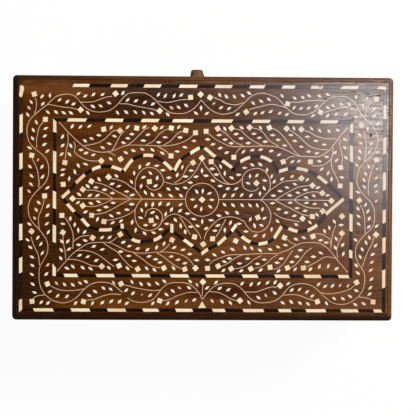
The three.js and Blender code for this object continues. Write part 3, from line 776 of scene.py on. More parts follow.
# The vine that winds round the border, and the side stems that leave it, as (flower, stem). A flower
# is (x, y, tilt of the square).
borderVines = [
    [(-2.6, 98.8), (-6.6, 93.6), (-12, 88.6), (-19, 85.4), (-27, 85), (-33.7, 86), (-39.5, 89.8),
     (-44.5, 94), (-50, 99.8), (-54.5, 103), (-59.5, 105.3), (-67, 105.7), (-74.7, 104.8),
     (-79.7, 101.5), (-85.5, 94.8), (-89.7, 90.7), (-95.5, 87.3), (-103, 86), (-109.7, 86.5),
     (-116.3, 89), (-121.3, 93.2), (-126.3, 99), (-130.5, 102.3), (-136.3, 103.6), (-143, 102.8),
     (-148.8, 100.3), (-156.3, 93.2), (-162.2, 88.6), (-168.8, 82.8), (-173.8, 77.3), (-176.3, 70.7),
     (-176.3, 62.3), (-174.3, 55.7), (-169.7, 49.8), (-164.7, 45.7), (-159.7, 41.5), (-156.3, 36.5),
     (-154.6, 28), (-156, 19), (-159.7, 13.2), (-164.7, 8.2), (-168.8, 4), (-172.6, -1.4),
     (-174.8, -7.2), (-175, -13), (-173.4, -20), (-170, -25.5), (-163.8, -32.2), (-159.7, -37.6),
     (-156.3, -43), (-155.2, -49.7), (-156.3, -56.3), (-159.7, -63), (-163, -68.8), (-164, -74.7),
     (-163.8, -83), (-162.2, -89.7), (-158, -96.8), (-151.3, -102.2), (-144.7, -104.7),
     (-138.8, -105.3), (-133, -103.8), (-126.3, -99.7), (-120.5, -93.4), (-114.7, -88), (-108, -85),
     (-101.3, -84.4), (-94.7, -85), (-89.7, -87.2), (-84.7, -91), (-80.5, -94.7)],
    [(-75.5, -100), (-69.7, -103.4), (-62, -104.6), (-56.2, -103.8), (-50.3, -101.8), (-46.2, -97.6),
     (-42, -91.8), (-37.8, -87.6), (-32, -85), (-23.7, -84.4), (-17, -85), (-11.2, -87.6),
     (-6.2, -91.8), (-2.8, -96.5), (-0.8, -101)],
    [(-2.6, 98.8), (1.3, 94.4), (5.5, 90.3), (10.5, 87), (16.3, 85), (20.5, 84.7), (26.3, 85.7),
     (31.3, 87.8), (36.3, 92), (40.5, 96), (44.7, 100.3), (48.8, 103.6), (53.8, 105.3), (60.5, 106),
     (69.7, 103.2), (74.7, 100.3), (80.5, 94.4), (85.5, 89.4), (90.5, 86), (98, 84.6), (104.7, 85.3),
     (110.5, 87.8), (115.5, 91.5), (119.7, 96), (124.7, 100.3), (130.5, 102.8), (136.3, 103.6),
     (143, 103), (148.8, 100.3), (153, 95.7), (155.5, 90.7), (158, 86.5), (162.2, 81), (167.2, 77.3),
     (171.3, 72.3), (174.7, 65.7), (175.3, 59.8), (174.3, 53), (171.3, 46.5), (167.2, 42),
     (163, 38.2), (158.8, 34), (156.3, 29), (155, 23.2), (154.7, 16.5), (158, 9), (162, 4),
     (166.3, 0), (169.3, -3.8), (171.8, -8.8), (172.8, -14.7), (172.6, -21.3), (170.9, -27.2),
     (168, -31.3), (163, -35.5), (158, -41.3), (155, -46.3), (153.8, -51.3), (154, -57.2),
     (155.9, -63), (158.8, -68), (161.3, -71.3), (163, -76.3), (163.3, -82.2), (162.2, -88.8),
     (159.7, -94.3), (155.5, -99.3), (149.7, -103.4), (143, -105.7), (136.3, -105.7),
     (129.7, -103.8), (124.7, -100), (118.8, -94.7), (114.7, -90.5), (109.7, -87.2), (103, -85.3),
     (96.3, -85.3), (89.7, -87.2), (84.7, -91), (80.5, -96.3), (75.5, -101), (69.7, -103.4),
     (60.5, -104.7), (53.8, -103.7), (48.8, -101), (43.8, -96.3), (39.7, -91.3), (34.7, -87.2),
     (29.7, -85.3), (23, -85), (15.5, -86.3), (9.7, -89.7), (4.7, -94.7), (-0.3, -101.3)],
]
borderStems = [
    ((-169.4, 103.3, 20), [(-169.3, 83.2), (-167.6, 89), (-167.3, 94.8), (-168.4, 99.8)]),
    ((-123.2, 88, 42), [(-156, 93.2), (-149.7, 92.3), (-141.3, 90.7), (-133, 90), (-127, 88.5)]),
    ((-88.4, 104.4, 35), [(-123.8, 95.7), (-116.3, 95.7), (-109.7, 96.5), (-103, 99), (-97.2, 101),
                          (-92, 101.9)]),
    ((-44.1, 87.5, 43), [(-84.7, 94.4), (-76.3, 94.2), (-69.7, 92.5), (-60.3, 90.8), (-53.7, 89.7),
                         (-47, 88)]),
    ((-13.3, 101.3, 4), [(-46.2, 97.3), (-37.8, 96), (-31.2, 97), (-23.7, 98.6), (-16.2, 99.2)]),
    ((-3.3, 104.3, 45), []),
    ((6.2, 101.3, 55), [(40, 96.5), (34.7, 94.8), (28.8, 94.4), (22.2, 95.7), (16.3, 99), (10, 101.3)]),
    ((42.6, 87.1, 38), [(82.2, 91.7), (77.2, 93.3), (71.3, 94.7), (65.5, 94.7), (59.7, 93.3),
                      (52.2, 91.5), (45.5, 89.4)]),
    ((84.3, 95.7, -12), [(121, 99.5), (109.7, 99), (103, 98.6), (94.7, 97.3), (87.6, 97.5)]),
    ((117.4, 87.3, -15), [(155.5, 89.8), (148.8, 91.5), (142.2, 92.3), (134.7, 91), (128, 89.2),
                          (121.3, 87.3)]),
    ((173.6, 100.7, 0), [(162.4, 83.5), (163.8, 90.7), (166.3, 95.3), (169.7, 99.8)]),
    ((-158.3, 78.2, 2), [(-166.8, 49.8), (-167, 57.3), (-166, 63.2), (-164.7, 69.8), (-160.5, 75.3)]),
    ((-171.8, 42.2, -6), [(-164.8, 9.8), (-164.3, 14.8), (-165, 20.7), (-166, 27.3), (-168.8, 34),
                        (-171.3, 39.4)]),
    ((-158.8, 1.7, 0), [(-163.8, -31.3), (-164.7, -25.5), (-164.5, -18.8), (-162.2, -13), (-160, -6.3),
                        (-159, -1.5)]),
    ((-171.7, -33.8, 43), [(-163.5, -68), (-164.7, -58), (-167.2, -52.2), (-170, -46.3),
                           (-172.2, -39.3)]),
    ((-170.9, -103.9, 3), [(-158, -97.2), (-165.5, -98.4), (-169.3, -100.5)]),
    ((-155.6, -86.4, 20), [(-118.8, -91), (-123.8, -92.2), (-131.3, -93), (-139.7, -92.8),
                           (-146.3, -91.3), (-152.2, -88.4)]),
    ((-119.5, -104, -18), [(-82.2, -96.8), (-90.5, -96.3), (-98, -97.6), (-103.8, -99.7),
                            (-109.7, -101.8), (-115.5, -102.2)]),
    ((-82, -86, 25), [(-42, -91.8), (-47, -92.6), (-54.5, -92.2), (-67.2, -90), (-73, -88.4),
                      (-78.8, -87.2)]),
    ((-43.2, -102.9, -20), [(-5.3, -94.4), (-13.7, -94.3), (-20.3, -96), (-27, -98.4), (-33.7, -101.8),
                       (-40.3, -102.8)]),
    ((37.4, -102.5, 43), [(6.3, -93.4), (15.5, -94.3), (22.2, -97.2), (28.8, -101), (34.3, -102.6)]),
    ((77.9, -87.3, 45), [(42.2, -93.7), (53, -93.7), (58, -92.2), (68, -88.8), (74.7, -88.8)]),
    ((115.5, -103.3, 18), [(81.3, -96.8), (91.3, -96.2), (98, -97.2), (104.7, -100), (112.2, -102.2)]),
    ((155, -83.7, 35), [(118.8, -93.8), (125.5, -95.3), (133.8, -94.7), (141.3, -93), (148, -90.5),
                        (153, -86.8)]),
    ((171.8, -103.4, -5), [(157.2, -98.4), (163, -99), (169.3, -100.5)]),
    ((174.3, -35.4, 45), [(160.5, -68), (163.4, -59.7), (166.3, -52.2), (170, -45.5), (172.2, -38)]),
    ((157.1, -1.1, 38), [(163.4, -34.7), (163, -27.2), (162.8, -19.7), (161.3, -12.2), (158.4, -5.5)]),
    ((174.3, 39.7, 10), [(166.3, 4), (166.3, 15.7), (167.6, 23.2), (170, 29.8), (171.3, 35.3)]),
    ((158.9, 74.6, 42), [(162, 38), (163, 44.8), (163.8, 53), (162.6, 62.3), (161.3, 69)]),
    ((0.1, -83.8, 45), [(-0.6, -98), (0, -87)]),
]

# Border leaves: (x, y, angle of the leaf's length).
borderLeaves = [
    (-161.7, 101, 52), (-153.9, 102.1, 86), (-172.5, 95.4, -58), (-175.9, 82.8, -58),
    (-160.9, 93.7, 50), (-144.2, 97.8, 35), (-136.5, 96, 40), (-130.3, 93.7, 30), (-125.4, 104.1, 33),
    (-118.6, 101.9, 33), (-110.5, 103.4, 38), (-101.3, 103.5, 35), (-81.1, 105.1, 57),
    (-76.3, 98.2, 45), (-94.8, 95.1, -28), (-110.9, 91.5, -30), (-103.2, 92, -28), (-155.8, 85.4, -42),
    (-147.7, 85.6, -45), (-140, 84.9, -33), (-132.9, 84.9, -38), (-116, 85.1, -47), (-86.3, 85.4, -52),
    (-77.7, 86, -42), (-67.9, 97.4, 38), (-59.1, 96, 40), (-51, 94.3, 33), (-45.5, 103.7, 55),
    (-38.7, 102.6, 58), (-29.8, 102.6, 58), (-22.7, 103.5, 35), (15.9, 103.9, -62), (22.6, 102.4, -55),
    (30.7, 102.3, -52), (39, 103.4, -37), (-25.2, 91.2, -40), (-17.7, 93.2, -33), (-2.7, 90.7, 90),
    (-7.8, 85.5, -35), (3.1, 85.3, 32), (17.3, 91.2, 35), (25.4, 90.4, 33), (34, 84.6, 37),
    (-68.5, 86.1, -48), (-60, 85.6, -50), (-51.9, 84.8, -38), (-36.1, 84, -45), (45.4, 106, -32),
    (49.6, 96, -45), (57.5, 98.1, -33), (65.3, 99.9, -40), (78.6, 103.5, -50), (51.8, 85.6, 46),
    (58.9, 86.4, 37), (67.2, 87.6, 37), (76.3, 86.1, 36), (83.5, 84.8, 34), (91.3, 101.3, -36),
    (99.3, 102.1, -40), (105.7, 103.8, -37), (116.1, 103.7, -42), (124.5, 105.3, -35),
    (153.1, 102.8, 89), (90.7, 91.6, 55), (97.7, 91, 34), (105.4, 91.4, 38), (113.2, 93.3, 40),
    (124.8, 92.1, -34), (129.9, 94.2, -36), (138.5, 95.7, -40), (146.3, 95.5, -52), (109.9, 83.8, 33),
    (124.7, 84.1, 46), (133.2, 85.4, 46), (142.8, 85.4, 35), (153.4, 83, -12), (-170.3, -86.7, -35),
    (-138.5, -86.9, -44), (-130.3, -87.2, -40), (-123, -85.5, -38), (-117.2, -84, -37),
    (-168.4, -95, -25), (-145.4, -98.3, 48), (-136.1, -98.9, 48), (-161.6, -104.8, 45),
    (-154.9, -105.5, 42), (-127.4, -105.5, 50), (-110.4, -105.5, 60), (-100.7, -105, 43),
    (-91.7, -103.6, 44), (-83.4, -103.8, 44), (-76.1, -105.5, 37), (-76.8, -92.4, 44),
    (-107.9, -93.9, -35), (-113.9, -97.8, -30), (-99.6, -90.4, -40), (-92.3, -91.4, -34),
    (-71.1, -84, -57), (-61.9, -86.1, -52), (-54, -86.4, -45), (-45.7, -85.6, -43), (-38.5, -83.4, -36),
    (-12.6, -83.4, -45), (13.3, -84.3, 45), (4.3, -89.8, 38), (17, -90.2, 32), (25.8, -91.6, 33),
    (32.4, -97.2, 35), (39.6, -85.3, 53), (-70, -95.5, 46), (-52.7, -97.4, 41), (-36.4, -96.6, -36),
    (-30.1, -93, -36), (-13.9, -89.7, -34), (-50.1, -105.5, 50), (-35, -105.5, 46), (-25.8, -104.4, 48),
    (-8.5, -101.9, 38), (19.4, -103.6, -52), (27.8, -104.7, -52), (48.7, -86.1, 53), (56.4, -85.2, 44),
    (65.1, -84.4, 42), (72.8, -83.9, 55), (86, -85.2, 42), (89.6, -91.6, 42), (97.5, -91, 45),
    (105, -93.5, 40), (110.4, -97.5, 38), (116.6, -85.8, 45), (123.2, -87.8, 38), (130.7, -87.3, 46),
    (72.4, -94.6, -38), (56, -99.4, -40), (46.5, -104.4, -55), (80.5, -104.5, -38), (89.1, -103.6, -46),
    (97.9, -104.7, -45), (106, -105.5, -40), (124.7, -104.9, -55), (132.5, -100.1, -36),
    (141.3, -100.2, -35), (148.5, -97.8, -33), (154.8, -92, -30), (153.9, -106.1, -36),
    (-167.3, 75.2, -62), (-170.3, 67.4, -60), (-171, 59.1, -57), (-157.9, 69.2, 28), (-158.8, 61.6, 33),
    (-159.3, 53.1, 32), (-156.1, 46.5, 40), (-174, 49.7, -28), (-161.5, 30.8, 57), (-160.9, 20.8, 50),
    (-173.5, 30.9, -43), (-171.9, 21.7, -45), (-172.3, 13.3, -43), (-155.9, 9.8, 33), (-164.6, -5, -45),
    (-167.1, -12.2, -60), (-155.3, -8.5, 45), (-156, -17.5, 42), (-173.9, -26.5, -36),
    (-156.4, -26.1, 40), (-154.9, -34.5, 58), (-165.3, -40.1, 55), (-162.3, -46.5, 53),
    (-160.8, -55.5, 52), (-175.6, -42.4, -35), (-172.8, -49.8, -35), (-171.1, -59.5, -28),
    (-170.7, -67.9, -33), (-171.2, -76.9, -30), (-156.7, -76.5, 45), (160, 94.1, -65),
    (171.6, 91.1, 36), (171.7, 84, 50), (175.2, 76.1, 50), (165, 70.9, 80), (157, 65.2, -46),
    (158.2, 56.7, -40), (168.8, 56.1, 50), (157.5, 48.3, -55), (167, 47.9, 48), (175.3, 47.8, 2),
    (156.8, 41.5, -55), (154.3, 34.5, -53), (166.5, 33, -58), (163.3, 25.8, -58), (161.8, 19.5, -55),
    (173.8, 13.9, 42), (162.1, 12.6, -50), (155.8, 7.2, -25), (163.5, -5.4, 58), (155.8, -9.4, -55),
    (165.9, -12, 58), (167.3, -19.2, 63), (156.5, -17, -38), (156.7, -24.8, -40), (167, -27.6, 50),
    (174.8, -26.8, 43), (153.6, -40.9, -40), (167.6, -38.4, -65), (164.3, -43.6, -62),
    (160.5, -50.4, -60), (158.4, -57.8, -58), (173.9, -46.5, 42), (171, -55.4, 33), (170.4, -63.3, 30),
    (169.3, -71.2, 36), (170, -80.4, 42), (169, -89, 48), (168.3, -95.4, 32), (154.5, -66.5, -55),
    (156.3, -74.3, -38), (162.4, -105.2, -36),
]
# Loose inlay: the border's bone triangle; leaves worn thin or stained by the wax, with their share of
# a whole leaf's size; and leaves that have fallen out, where lac and dirt fill the place.
looseSet = dict(
    triangle=[(-4.5, -110), (3.4, -110), (-0.6, -103.2)],
    wornLeaves=[
        (-174.6, 89.6, -48, 0.9), (-32.3, 90.7, -38, 1), (10.1, 95.4, 35, 0.75), (-146.5, -85.6, -48, 0.9),
        (-153, -94.1, 32, 1), (-89.5, -84.9, -55, 0.95), (-60.9, -96.8, 30, 0.5), (-5.8, -86.7, -60, 0.9),
        (-23.5, -89.9, -35, 0.8), (-16.6, -103, 43, 0.8), (9.5, -102.9, -55, 1), (63.5, -97.2, -55, 0.8),
        (138.3, -86.9, 55, 0.85), (146.3, -87.2, 63, 0.9), (-165.5, 37.7, 55, 0.75),
        (-174.3, 6.3, -45, 0.95), (-168.6, -20.6, -53, 0.9), (-155.3, -67.3, 38, 0.9),
        (164.3, 101.8, 35, 0.7), (176.7, 60, 0, 0.4), (174.7, 30.7, 40, 0.75), (174.2, 21.5, 38, 0.85),
        (174.5, 7.9, 40, 0.85), (174.3, -1.7, 50, 0.8),
    ],
    lostLeaves=[(155.9, -33.4, -50), (168.5, 64.4, 75), (-93.4, -56.6, 35)],
)

# The four sprays in the corners of the field: the same, with None for a stem without a flower.
fieldStems = [
    ((-8.2, 65.9, 0), [(-144.7, 75.7), (-134.7, 64.8), (-124.7, 55.3), (-119.7, 51.5), (-114.7, 48.6),
                       (-108, 46.5), (-101.3, 45.8), (-94.7, 46.5), (-88.8, 48.2), (-82.2, 51),
                       (-76.3, 52.8), (-68, 53.2), (-50, 52.6), (-40.3, 52.5), (-32, 53.2),
                       (-23.7, 55.3), (-17, 58.4), (-12.8, 61.4), (-10.2, 63.8)]),
    ((-83.8, 67.5, 45), [(-119.7, 52.3), (-113, 53.2), (-105.5, 55.3), (-99.7, 58.6), (-94.7, 63.2),
                         (-90.5, 67.3), (-86, 68)]),
    (None, [(-91.8, 47.8), (-88.8, 52.3), (-85.5, 59), (-83, 63.2), (-79.7, 66.5)]),
    ((-49, 70, 45), [(-76.3, 52.8), (-70.5, 57.3), (-65.5, 62.3), (-58.7, 69), (-54.5, 70.7)]),
    ((-32.5, 70.4, -10), [(-58.3, 53), (-50.3, 57.3), (-46.2, 62.3), (-41.2, 67), (-36, 69.5)]),
    ((-17.9, 68.1, -10), [(-40.3, 53.2), (-33.7, 57), (-29.5, 61.5), (-25.3, 65.7), (-20.5, 67.5)]),
    ((-100.1, 68.8, 10), []), ((-67.1, 70.1, -15), []),
    ((-83, 39.1, 35), [(-96, 46), (-91.3, 44.4), (-88, 42)]),
    ((-32.6, 42.5, 2), [(-46.2, 52.2), (-42, 49.8), (-37.8, 47.3), (-35, 44.8)]),
    ((-138.7, 35.2, -10), [(-136.3, 64.4), (-135.5, 59), (-136, 53.2), (-137.6, 46), (-138.3, 38.5)]),
    ((-102.3, 37.1, 50), [(-129.8, 56.5), (-128.4, 51.5), (-129, 45.7), (-122.2, 40.3),
                          (-116.3, 37.8), (-111.3, 37), (-106, 37)]),
    ((-140.3, 13.4, 5), []),
    ((2.5, 67.4, 5), [(145, 72), (136.3, 62.3), (132.2, 56.5), (128, 50.7), (123, 46.5), (118, 43.6),
                      (113, 42.5), (96.3, 43.2), (90.5, 45.3), (84.7, 48.2), (78, 51), (71.3, 52.5),
                      (58, 53.2), (39.7, 52.2), (31.3, 52.2), (24.7, 53.2), (19.7, 55.5), (13, 59),
                      (8, 62.6), (5, 65.4)]),
    ((14.1, 70.2, 30), [(40.5, 52.5), (31.3, 57), (26.3, 61.5), (21.3, 66), (17, 68.5)]),
    ((27.9, 70.7, 40), [(58.8, 53.6), (53, 56.5), (47.2, 59.8), (41.3, 64.8), (36.3, 69), (31.5, 70)]),
    ((46.1, 71.6, 45), [(75.5, 53), (66.3, 58.5), (60.5, 65.7), (54.7, 69.8), (49.5, 71)]),
    ((66, 71.4, 30), [(96.8, 43.3), (92.2, 47.3), (88, 52.3), (83.8, 58.2), (78.8, 64.4), (73.8, 68.6),
                      (69, 71)]),
    ((83.4, 70.7, 45), [(124.7, 49.6), (115.5, 50.3), (108.8, 52.3), (103, 56), (98, 61), (92.2, 65.7),
                        (86.5, 69.3)]),
    ((98.2, 69.9, 45), [(133, 60.7), (126.3, 60.7), (119.7, 61.5), (113, 63.6), (106.3, 67.3),
                        (101.5, 69)]),
    ((30.4, 41.6, -2), [(37.2, 50.7), (33.8, 47.8), (32.2, 44.8)]),
    ((80.1, 37.5, 20), [(91.3, 43), (86.3, 42), (83, 39.4)]),
    ((107.6, 37.5, 0), []),
    (None, [(108.8, 33.6), (114.7, 33.3), (120.5, 34.4), (124.7, 37), (128.4, 40.3)]),
    ((138.1, 32.1, 5), [(137.6, 60.3), (136.8, 55.7), (138.4, 49), (140, 40.7), (139, 35.5)]),
    ((137.7, 13.6, 0), [(130.3, 51.5), (129.7, 44.8), (128.4, 38.2), (129.7, 30.7), (133, 24),
                        (136.3, 17)]),
    ((-7.4, -70, 45), [(-146, -73.8), (-141.3, -68), (-136.3, -62.6), (-131.3, -56.8), (-126.3, -52.6),
                       (-121.3, -49.3), (-116.3, -46.3), (-109.7, -44.8), (-94.7, -44.7), (-88, -47.2),
                       (-81.3, -50.5), (-76.3, -52.8), (-69.7, -54.3), (-62, -55.2), (-46.2, -54),
                       (-35.3, -54), (-27, -55), (-20.3, -57.2), (-15.3, -60), (-12, -63.4), (-9, -67.5)]),
    ((-101.4, -68.6, 45), [(-136, -61.8), (-129.7, -61.8), (-123.8, -62.8), (-118, -65), (-112.2, -67.6),
                           (-105.5, -68.6)]),
    ((-84.1, -67.9, 25), [(-127, -53), (-120.5, -52.6), (-113, -53.7), (-106.3, -56.3), (-100.5, -60),
                          (-94.7, -64.7), (-88.8, -68.7)]),
    ((-65.4, -71.1, 35), [(-100, -45), (-93, -49.7), (-86.3, -53.8), (-80.5, -60.5), (-75.5, -66),
                          (-70.5, -70)]),
    ((-39.1, -70, 30), [(-70, -54.7), (-60.3, -61.3), (-54.5, -66), (-48.7, -68.8), (-43, -70)]),
    ((-18.2, -71.1, 25), [(-46.2, -54.8), (-39.5, -58.8), (-33.7, -63.4), (-27.8, -67.6), (-22, -70.5)]),
    ((-83, -36.4, 30), [(-94.3, -44.7), (-89.7, -42.2), (-86, -39)]),
    ((-31.1, -41.8, -25), [(-43.3, -54), (-37.8, -50.5), (-33.5, -45.5)]),
    ((-141.4, -17.7, 0), [(-130.5, -51), (-130, -38.8), (-131.8, -31.3), (-134.7, -25.5), (-138, -20)]),
    ((-110.7, -40, -35), [(-129.7, -43.8), (-126.3, -41), (-121.3, -38.4), (-113.8, -37.6)]),
    ((-140.4, -34.8, -35), [(-137.6, -61.8), (-138, -54.7), (-139.3, -48), (-140, -43), (-140.4, -38)]),
    ((4.6, -70.1, 3), [(145.9, -73.7), (140.5, -67.2), (135.5, -61.3), (129.7, -53.8), (124.7, -48.8),
                       (118.8, -45), (113, -43.6), (101.3, -44), (95.5, -45.7), (90.5, -48.4),
                       (85.5, -51.2), (79.7, -53.4), (73.8, -55), (58, -55), (41.3, -56),
                       (26.3, -56.6), (20.5, -58.4), (14.7, -60.5), (9.7, -63), (6.5, -66.5)]),
    ((15.4, -67.9, 30), [(40, -56), (32, -60), (25, -65), (19, -68)]),
    ((28.4, -70.4, 30), [(59, -57), (52, -60.5), (46, -65.5), (40, -68.8), (34, -70.3), (31, -70.4)]),
    ((48.2, -70.4, 30), [(75, -56), (68.5, -60.5), (64, -65), (58, -68.5), (52, -70)]),
    ((67.6, -68.8, 10), [(90.5, -51.5), (86.5, -57), (82, -64), (77.5, -68.5), (71, -71)]),
    ((85.1, -69.3, 20), [(110, -48.8), (104, -53), (99, -59.5), (93, -66.5), (88, -69.5)]),
    ((101.2, -69.3, 10), [(135, -60), (128, -58.3), (122, -58.5), (113, -64), (104.5, -68.3)]),
    ((81.9, -38.9, -25), [(93.5, -46), (88, -43.5), (84.5, -40.5)]),
    ((110.6, -37.5, 20), []),
    (None, [(129, -50.5), (128, -41), (124, -38), (119, -35.3), (112, -35)]),
    (None, [(129.5, -46), (129.5, -41), (131, -33), (133.5, -26)]),
    ((139.8, -17.1, 40), []),
    ((139.8, -34.3, 45), [(135.5, -59.5), (135, -50), (137, -43), (140, -38)]),
    ((32.9, -42.4, -25), []),
]

# The scroll inside the medallion: rosette ring, midrib, palmettes, spirals and ogees.
scrollRing = dict(x=-1.2, y=-1.2, reach=16.6, parts=72)
scrollStems = [
    ((-130.9, -0.8, 45), [(-18, -0.9), (-60, -0.9), (-95, -0.9), (-128, -0.8)]),
    ((129, -1.5, 45), [(15.5, -0.9), (60, -0.9), (95, -0.9), (126, -1.2)]),
    ((-120.6, 8.4, 50), [(-91, -0.5), (-97.2, 3.6), (-103, 6), (-110.5, 7.8), (-117.6, 7.5)]),
    ((-112.2, 16.6, 60), [(-73, -0.5), (-81.3, 4), (-88.8, 7.8), (-96.3, 12), (-103, 14.4),
                          (-108.8, 15.5)]),
    ((-95, 21, 45), [(-65.5, 4.8), (-68, 8.2), (-73, 11.5), (-78.8, 15.7), (-85.5, 18.2), (-92.2, 19.4)]),
    ((-120.6, -7.9, 35), [(-91, -1.3), (-97.2, -4.6), (-103, -6.8), (-110.5, -8.8), (-117.6, -8.3)]),
    ((-111.7, -17.5, -5), [(-73, -1.2), (-79, -4.3), (-86, -8.2), (-93, -12.1), (-99, -14.8),
                           (-104.5, -16), (-109.3, -16.7)]),
    ((-99.4, -23.6, -10), [(-68.3, -11.6), (-72.7, -15), (-77.4, -17.5), (-82, -19.3), (-87.5, -20.8),
                           (-92, -21.8), (-97.1, -22.3)]),
    ((119.8, 6.1, 40), [(91.5, -0.6), (96.7, 3.2), (101.4, 5.2), (106, 6.7), (110.7, 7.4), (117, 7)]),
    ((109.8, 13.7, 40), [(73, -0.6), (79, 3.2), (85, 6.7), (91.3, 10.1), (96.8, 12.3), (107, 13.9)]),
    ((98.7, 20.9, 45), [(65.7, 7.3), (69.6, 10.5), (74.2, 13.6), (78.9, 16.7), (82.7, 17.9), (89, 18.5),
                        (96, 19.2)]),
    ((120.3, -12.1, 40), [(91.5, -1.2), (96.2, -4.4), (101.7, -7.1), (106.3, -8.6), (111.8, -9),
                          (118, -9)]),
    ((109.9, -17.5, -5), [(72, -1.3), (80, -5.6), (88, -9.5), (95.5, -13.5), (102, -16), (107, -17)]),
    ((100, -19.6, 45), [(71, -14.2), (76, -17.5), (82.2, -20.1), (89.2, -21.3), (97.4, -22.9)]),
    ((-54.1, 16.6, 3), [(-61, -0.8), (-65.5, 4.8), (-68, 8.2), (-68.2, 14.8), (-66.8, 21), (-62, 27.8),
                        (-57.8, 30.3), (-53.7, 30.8), (-48.7, 29.8), (-44.5, 27), (-41.6, 22.8),
                        (-40, 17.8), (-40.8, 14), (-43.7, 10.3), (-47.8, 8.3), (-52, 8.6),
                        (-55.3, 10.7), (-57.2, 13.2)]),
    ((53.3, 15.7, 45), [(58.3, -0.7), (62.6, 4.2), (65.7, 8.1), (67.3, 12.8), (67.2, 17.4), (65.7, 22),
                        (62.6, 26.6), (58.7, 29.4), (54.8, 30.5), (50, 30.1), (44.8, 28.2), (40.9, 24.4),
                        (39.1, 19.6), (39.3, 14.2), (41, 10.8), (44.8, 8.4), (49.4, 7.6), (53.3, 9),
                        (55.6, 11.2)]),
    ((-52.1, -22.3, 10), [(-61, -0.8), (-65, -5), (-68, -11.2), (-68.4, -18.2), (-66.5, -25.2),
                          (-62.6, -29.8), (-58, -31.8), (-53.3, -32.4), (-47.9, -30.6), (-44.4, -28.2),
                          (-41.7, -23.6), (-41, -17.3), (-43.2, -13.4), (-46.3, -11.1), (-50.2, -10.2),
                          (-54, -11.2), (-56.8, -13.6), (-58.4, -18.6)]),
    ((55, -18.7, 20), [(57.1, -0.9), (61.3, -3.8), (64.5, -7.6), (67.1, -12.2), (68.1, -17), (66.7, -23.9),
                       (62.9, -30), (58.2, -32.8), (54.3, -33.5), (49.7, -32.6), (45.8, -29.7),
                       (42.7, -25.5), (40.8, -21.5)]),
    ((-1.6, 40.4, 45), [(-39.5, 16.5), (-35.3, 15.3), (-30.3, 14.2), (-23.7, 14.8), (-17.8, 17.3),
                        (-12.8, 21), (-8.7, 26), (-5.3, 31.5), (-2.4, 37)]),
    ((-10.5, 35.9, 35), [(-29.5, 15.3), (-24.5, 18.2), (-21.2, 21.5), (-18.7, 26.5), (-16.2, 31.5),
                         (-13, 34.5)]),
    (None, [(38.9, 20), (34.6, 16.5), (30.8, 14.8), (26.9, 14.4), (22.2, 14.9), (16.8, 17.2),
            (12.1, 20.3), (8.3, 24.6), (5.2, 28.8), (1.7, 33.2), (-0.6, 37.5)]),
    ((7.7, 37, 5), [(26.1, 14.9), (22.2, 17.3), (19.1, 21.1), (16.8, 25), (14.5, 29.7), (10.6, 34.7)]),
    ((0.2, -45.9, 35), [(-41.3, -23.5), (-37.8, -19.7), (-33.1, -16.7), (-28.5, -15.7), (-24.6, -16.7),
                        (-19.2, -19.6), (-14.5, -23.1), (-10.6, -27.3), (-6.8, -32), (-4, -35.8),
                        (-1.9, -40.6)]),
    ((-8.6, -38.6, -10), [(-24.2, -18.8), (-21.1, -21.9), (-18.4, -26.6), (-16.1, -31.2),
                          (-12.6, -36.4)]),
    (None, [(40.4, -22.6), (36.5, -20.3), (32.6, -18.9), (28, -18.2), (23.3, -18.4), (18.7, -19.4),
            (14, -22.1), (9.3, -26.4), (5.5, -31.1), (2.4, -36.1), (1.2, -41)]),
    ((9.5, -40.4, -3), [(22.9, -20.5), (19.8, -26.4), (16.3, -33.3), (12.6, -39)]),
]

